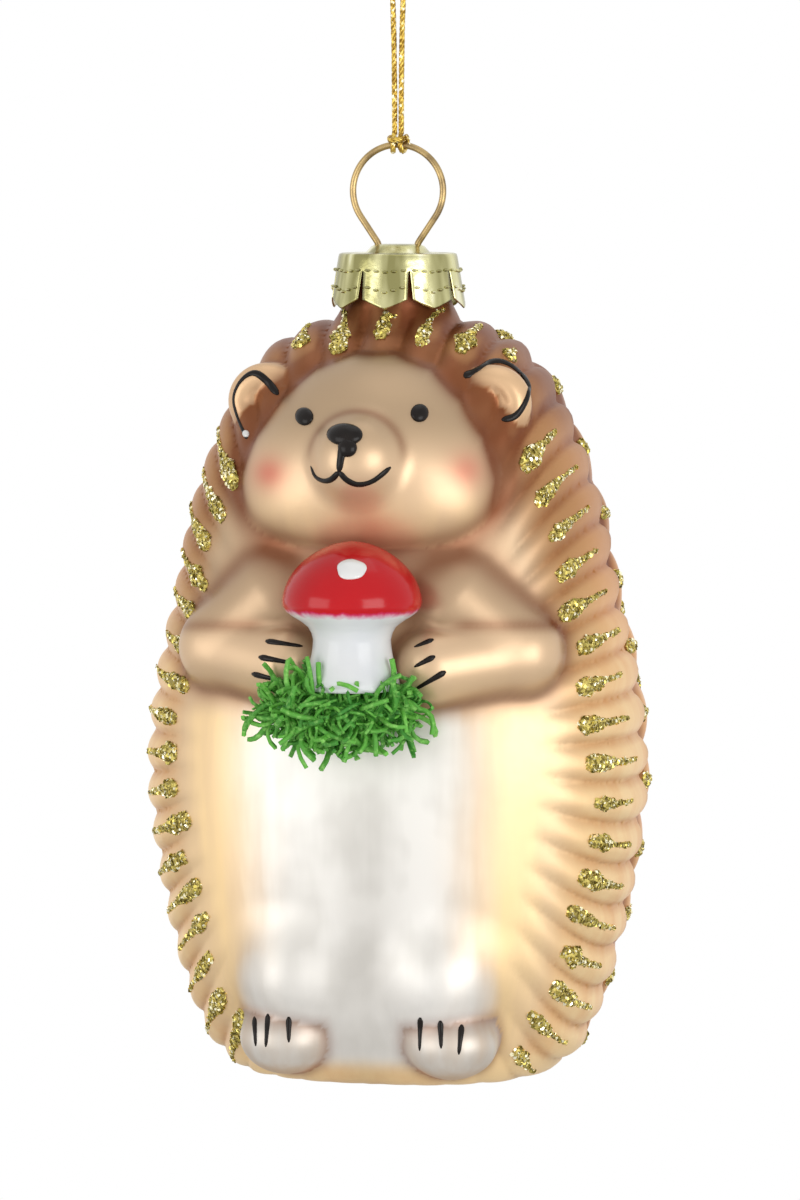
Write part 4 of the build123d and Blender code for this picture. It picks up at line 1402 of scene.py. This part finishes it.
def plied(line, plies, ply_radius, pitch):
    """Plies twisted together along a line, in the frame's metres."""
    line = np.asarray(line, dtype=float)
    ahead = np.gradient(line, axis=0)
    ahead /= np.linalg.norm(ahead, axis=1)[:, None]
    normals = carried_normals(ahead)
    beside = np.cross(ahead, normals)
    run = np.concatenate([[0], np.cumsum(np.linalg.norm(np.diff(line, axis=0), axis=1))])
    parts = []
    for k in range(plies):
        turn = 2 * math.pi * (run / pitch + k / plies)
        lane = line + ply_radius * (np.cos(turn)[:, None] * normals + np.sin(turn)[:, None] * beside)
        parts.append(tube(lane, ply_radius, 6))
    return joined(parts)


def evenly(line, spacing):
    """Points at one spacing along a line."""
    run = np.concatenate([[0], np.cumsum(np.linalg.norm(np.diff(line, axis=0), axis=1))])
    spots = np.linspace(0, run[-1], max(4, int(run[-1] / spacing)))
    return np.stack([np.interp(spots, run, line[:, i]) for i in range(3)], 1)


class HEDGEHOG_OT_cord(bpy.types.Operator):
    """Twist the gold cord and hitch it to the ring"""

    bl_idname = "hedgehog.cord"
    bl_label = "Cord and hitch"

    def execute(self, context):
        settings = context.scene.hedgehog_hanger
        yarn = metallic_yarn(settings)
        route = self.route()
        line = evenly(route, CORD_GRAIN * MM)
        cord = make_object("gold_cord", *plied(line, settings.plies, PLY_RADIUS * MM, PLY_PITCH * MM), yarn)
        half = np.array(HITCH_ROUTE)
        hitch_line = np.vstack([half, half[-2::-1] * (-1, 1, 1)])
        hitch_line = evenly(to_frame(smooth_line(hitch_line, 160)), HITCH_GRAIN * MM)
        loops = plied(hitch_line, settings.plies, PLY_RADIUS * MM, PLY_PITCH * MM)
        fray = [tube(to_frame(smooth_line(np.array(FRAY) + (0, 0.1 * k, 0.12 * k * (-1) ** k), 10)),
                     FRAY_RADIUS * MM, 5) for k in range(FRAYS)]
        hitch = make_object("cord_hitch_yarn", *joined([loops, *fray]), yarn)
        finish_piece(cord, "cord", "gold_cord", "hanging_cord")
        finish_piece(hitch, "cord", "gold_cord", "cord_hitch")
        return {"FINISHED"}

    def route(self):
        """Points along the cord's own curve."""
        curve = bpy.data.curves.new("cord_route", "CURVE")
        curve.dimensions = "3D"
        curve.resolution_u = 24
        spline = curve.splines.new("NURBS")
        spline.points.add(len(CORD_ROUTE) - 1)
        for point, (across, up) in zip(spline.points, CORD_ROUTE):
            point.co = (*to_frame((across, 0, up)), 1)
        spline.order_u = 3
        spline.use_endpoint_u = True
        holder = bpy.data.objects.new("cord_route", curve)
        bpy.context.scene.collection.objects.link(holder)
        drawn = baked(holder, "cord_route")
        points = np.array([tuple(v.co) for v in drawn.data.vertices])
        bpy.data.objects.remove(drawn)
        return points


# Stage
FLOOR_DROP = 0.10
FLOOR_RADIUS = 0.34
FLOOR_SIDES = 96
FLOOR_GLOW = (0.42, 0.42, 0.42)
AMBIENT = 0.46
SOFTBOXES = (
    ("key", (0.58, -0.54, 0.02), 0.5),
    ("fill", (-0.54, -0.58, 0.0), 0.5),
    ("top", (0.05, 0.05, 0.60), 0.40),
)


class HEDGEHOG_OT_stage(bpy.types.Operator):
    """Set the floor, the lights and the camera"""

    bl_idname = "hedgehog.stage"
    bl_label = "Stage"

    def execute(self, context):
        settings = context.scene.hedgehog_stage
        self.floor()
        self.world()
        for name, place, size in SOFTBOXES:
            self.softbox(name, place, size, getattr(settings, name))
        self.camera(settings)
        context.scene.view_settings.view_transform = "Standard"
        return {"FINISHED"}

    def floor(self):
        finish = Finish("pale_floor")
        fleck = finish.noise(60.0)
        seen_by = finish.node("ShaderNodeLightPath", {}, {}, output="Is Camera Ray")
        glow = finish.mix(seen_by, (0.0, 0.0, 0.0), FLOOR_GLOW)
        material = finish.close(base_color=finish.mix(fleck, (0.86, 0.86, 0.86), (0.90, 0.90, 0.90)), roughness=0.8,
                                emission_color=glow, emission_strength=1.0)
        low = BASE - FLOOR_DROP
        rim = [(FLOOR_RADIUS * math.cos(t), FLOOR_RADIUS * math.sin(t), low)
               for t in np.linspace(0, 2 * math.pi, FLOOR_SIDES, endpoint=False)]
        make_object("floor", rim, [range(FLOOR_SIDES)], material, smooth=False)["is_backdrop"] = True

    def world(self):
        world = bpy.data.worlds.new("white_studio")
        world.use_nodes = True
        bpy.context.scene.world = world
        sky = Graph(world.node_tree)
        sky.tree.nodes.clear()
        path = sky.node("ShaderNodeLightPath", {}, {}, output="Is Camera Ray")
        rays = path.socket.node.outputs
        plain = path + Value(sky, rays["Is Glossy Ray"]) + Value(sky, rays["Is Transmission Ray"])
        strength = AMBIENT + plain.clamped() * (1 - AMBIENT)
        light = sky.node("ShaderNodeBackground", {}, {"Color": (1, 1, 1), "Strength": strength})
        sky.node("ShaderNodeOutputWorld", {}, {"Surface": light})

    def softbox(self, name, place, size, power):
        lamp = bpy.data.lights.new(name, "AREA")
        lamp.energy = power
        lamp.size = size
        holder = bpy.data.objects.new(name, lamp)
        bpy.context.scene.collection.objects.link(holder)
        target = Vector(to_frame((0, 0, VIEW_CENTRE[1])))
        holder.location = target + Vector(place)
        holder.rotation_euler = (target - holder.location).to_track_quat("-Z", "Y").to_euler()

    def camera(self, settings):
        right, up, ahead = view_axes()
        view = bpy.data.cameras.new("front_view")
        view.sensor_width = 36.0
        view.lens = view.sensor_width * settings.distance / settings.frame_height
        holder = bpy.data.objects.new("front_view", view)
        bpy.context.scene.collection.objects.link(holder)
        turn = Matrix((right, up, -ahead)).transposed().to_4x4()
        holder.matrix_world = Matrix.Translation(to_frame(view_point())) @ turn
        bpy.context.scene.camera = holder


class HEDGEHOG_PT_panel(bpy.types.Panel):
    """Sizes, colours and steps of the ornament"""

    bl_idname = "HEDGEHOG_PT_panel"
    bl_label = "Glass hedgehog"
    bl_space_type = "VIEW_3D"
    bl_region_type = "UI"
    bl_category = "Hedgehog"

    def draw(self, context):
        for name, kind in SETTINGS.items():
            box = self.layout.box()
            for field in kind.__annotations__:
                box.prop(getattr(context.scene, name), field)
        for step_name in STEPS:
            self.layout.operator("hedgehog." + step_name)


SETTINGS = {
    "hedgehog_glass": GlassSettings,
    "hedgehog_trim": TrimSettings,
    "hedgehog_hanger": HangerSettings,
    "hedgehog_stage": StageSettings,
}
STEPS = ("cord", "glass", "enamel", "mushroom", "moss", "glitter", "cap", "stage")
CLASSES = (
    *SETTINGS.values(),
    HEDGEHOG_OT_cord,
    HEDGEHOG_OT_glass,
    HEDGEHOG_OT_enamel,
    HEDGEHOG_OT_mushroom,
    HEDGEHOG_OT_moss,
    HEDGEHOG_OT_glitter,
    HEDGEHOG_OT_cap,
    HEDGEHOG_OT_stage,
    HEDGEHOG_PT_panel,
)


def register():
    for kind in CLASSES:
        bpy.utils.register_class(kind)
    for name, kind in SETTINGS.items():
        setattr(bpy.types.Scene, name, PointerProperty(type=kind))


def unregister():
    for name in SETTINGS:
        delattr(bpy.types.Scene, name)
    for kind in reversed(CLASSES):
        bpy.utils.unregister_class(kind)


def main():
    register()
    for step_name in STEPS:
        getattr(bpy.ops.hedgehog, step_name)()
    boxes = {"cad": CAD_BOX, "visual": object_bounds()}
    {name: [list(corner) for corner in box] for name, box in boxes.items()}


if __name__ == "__main__":
    main()
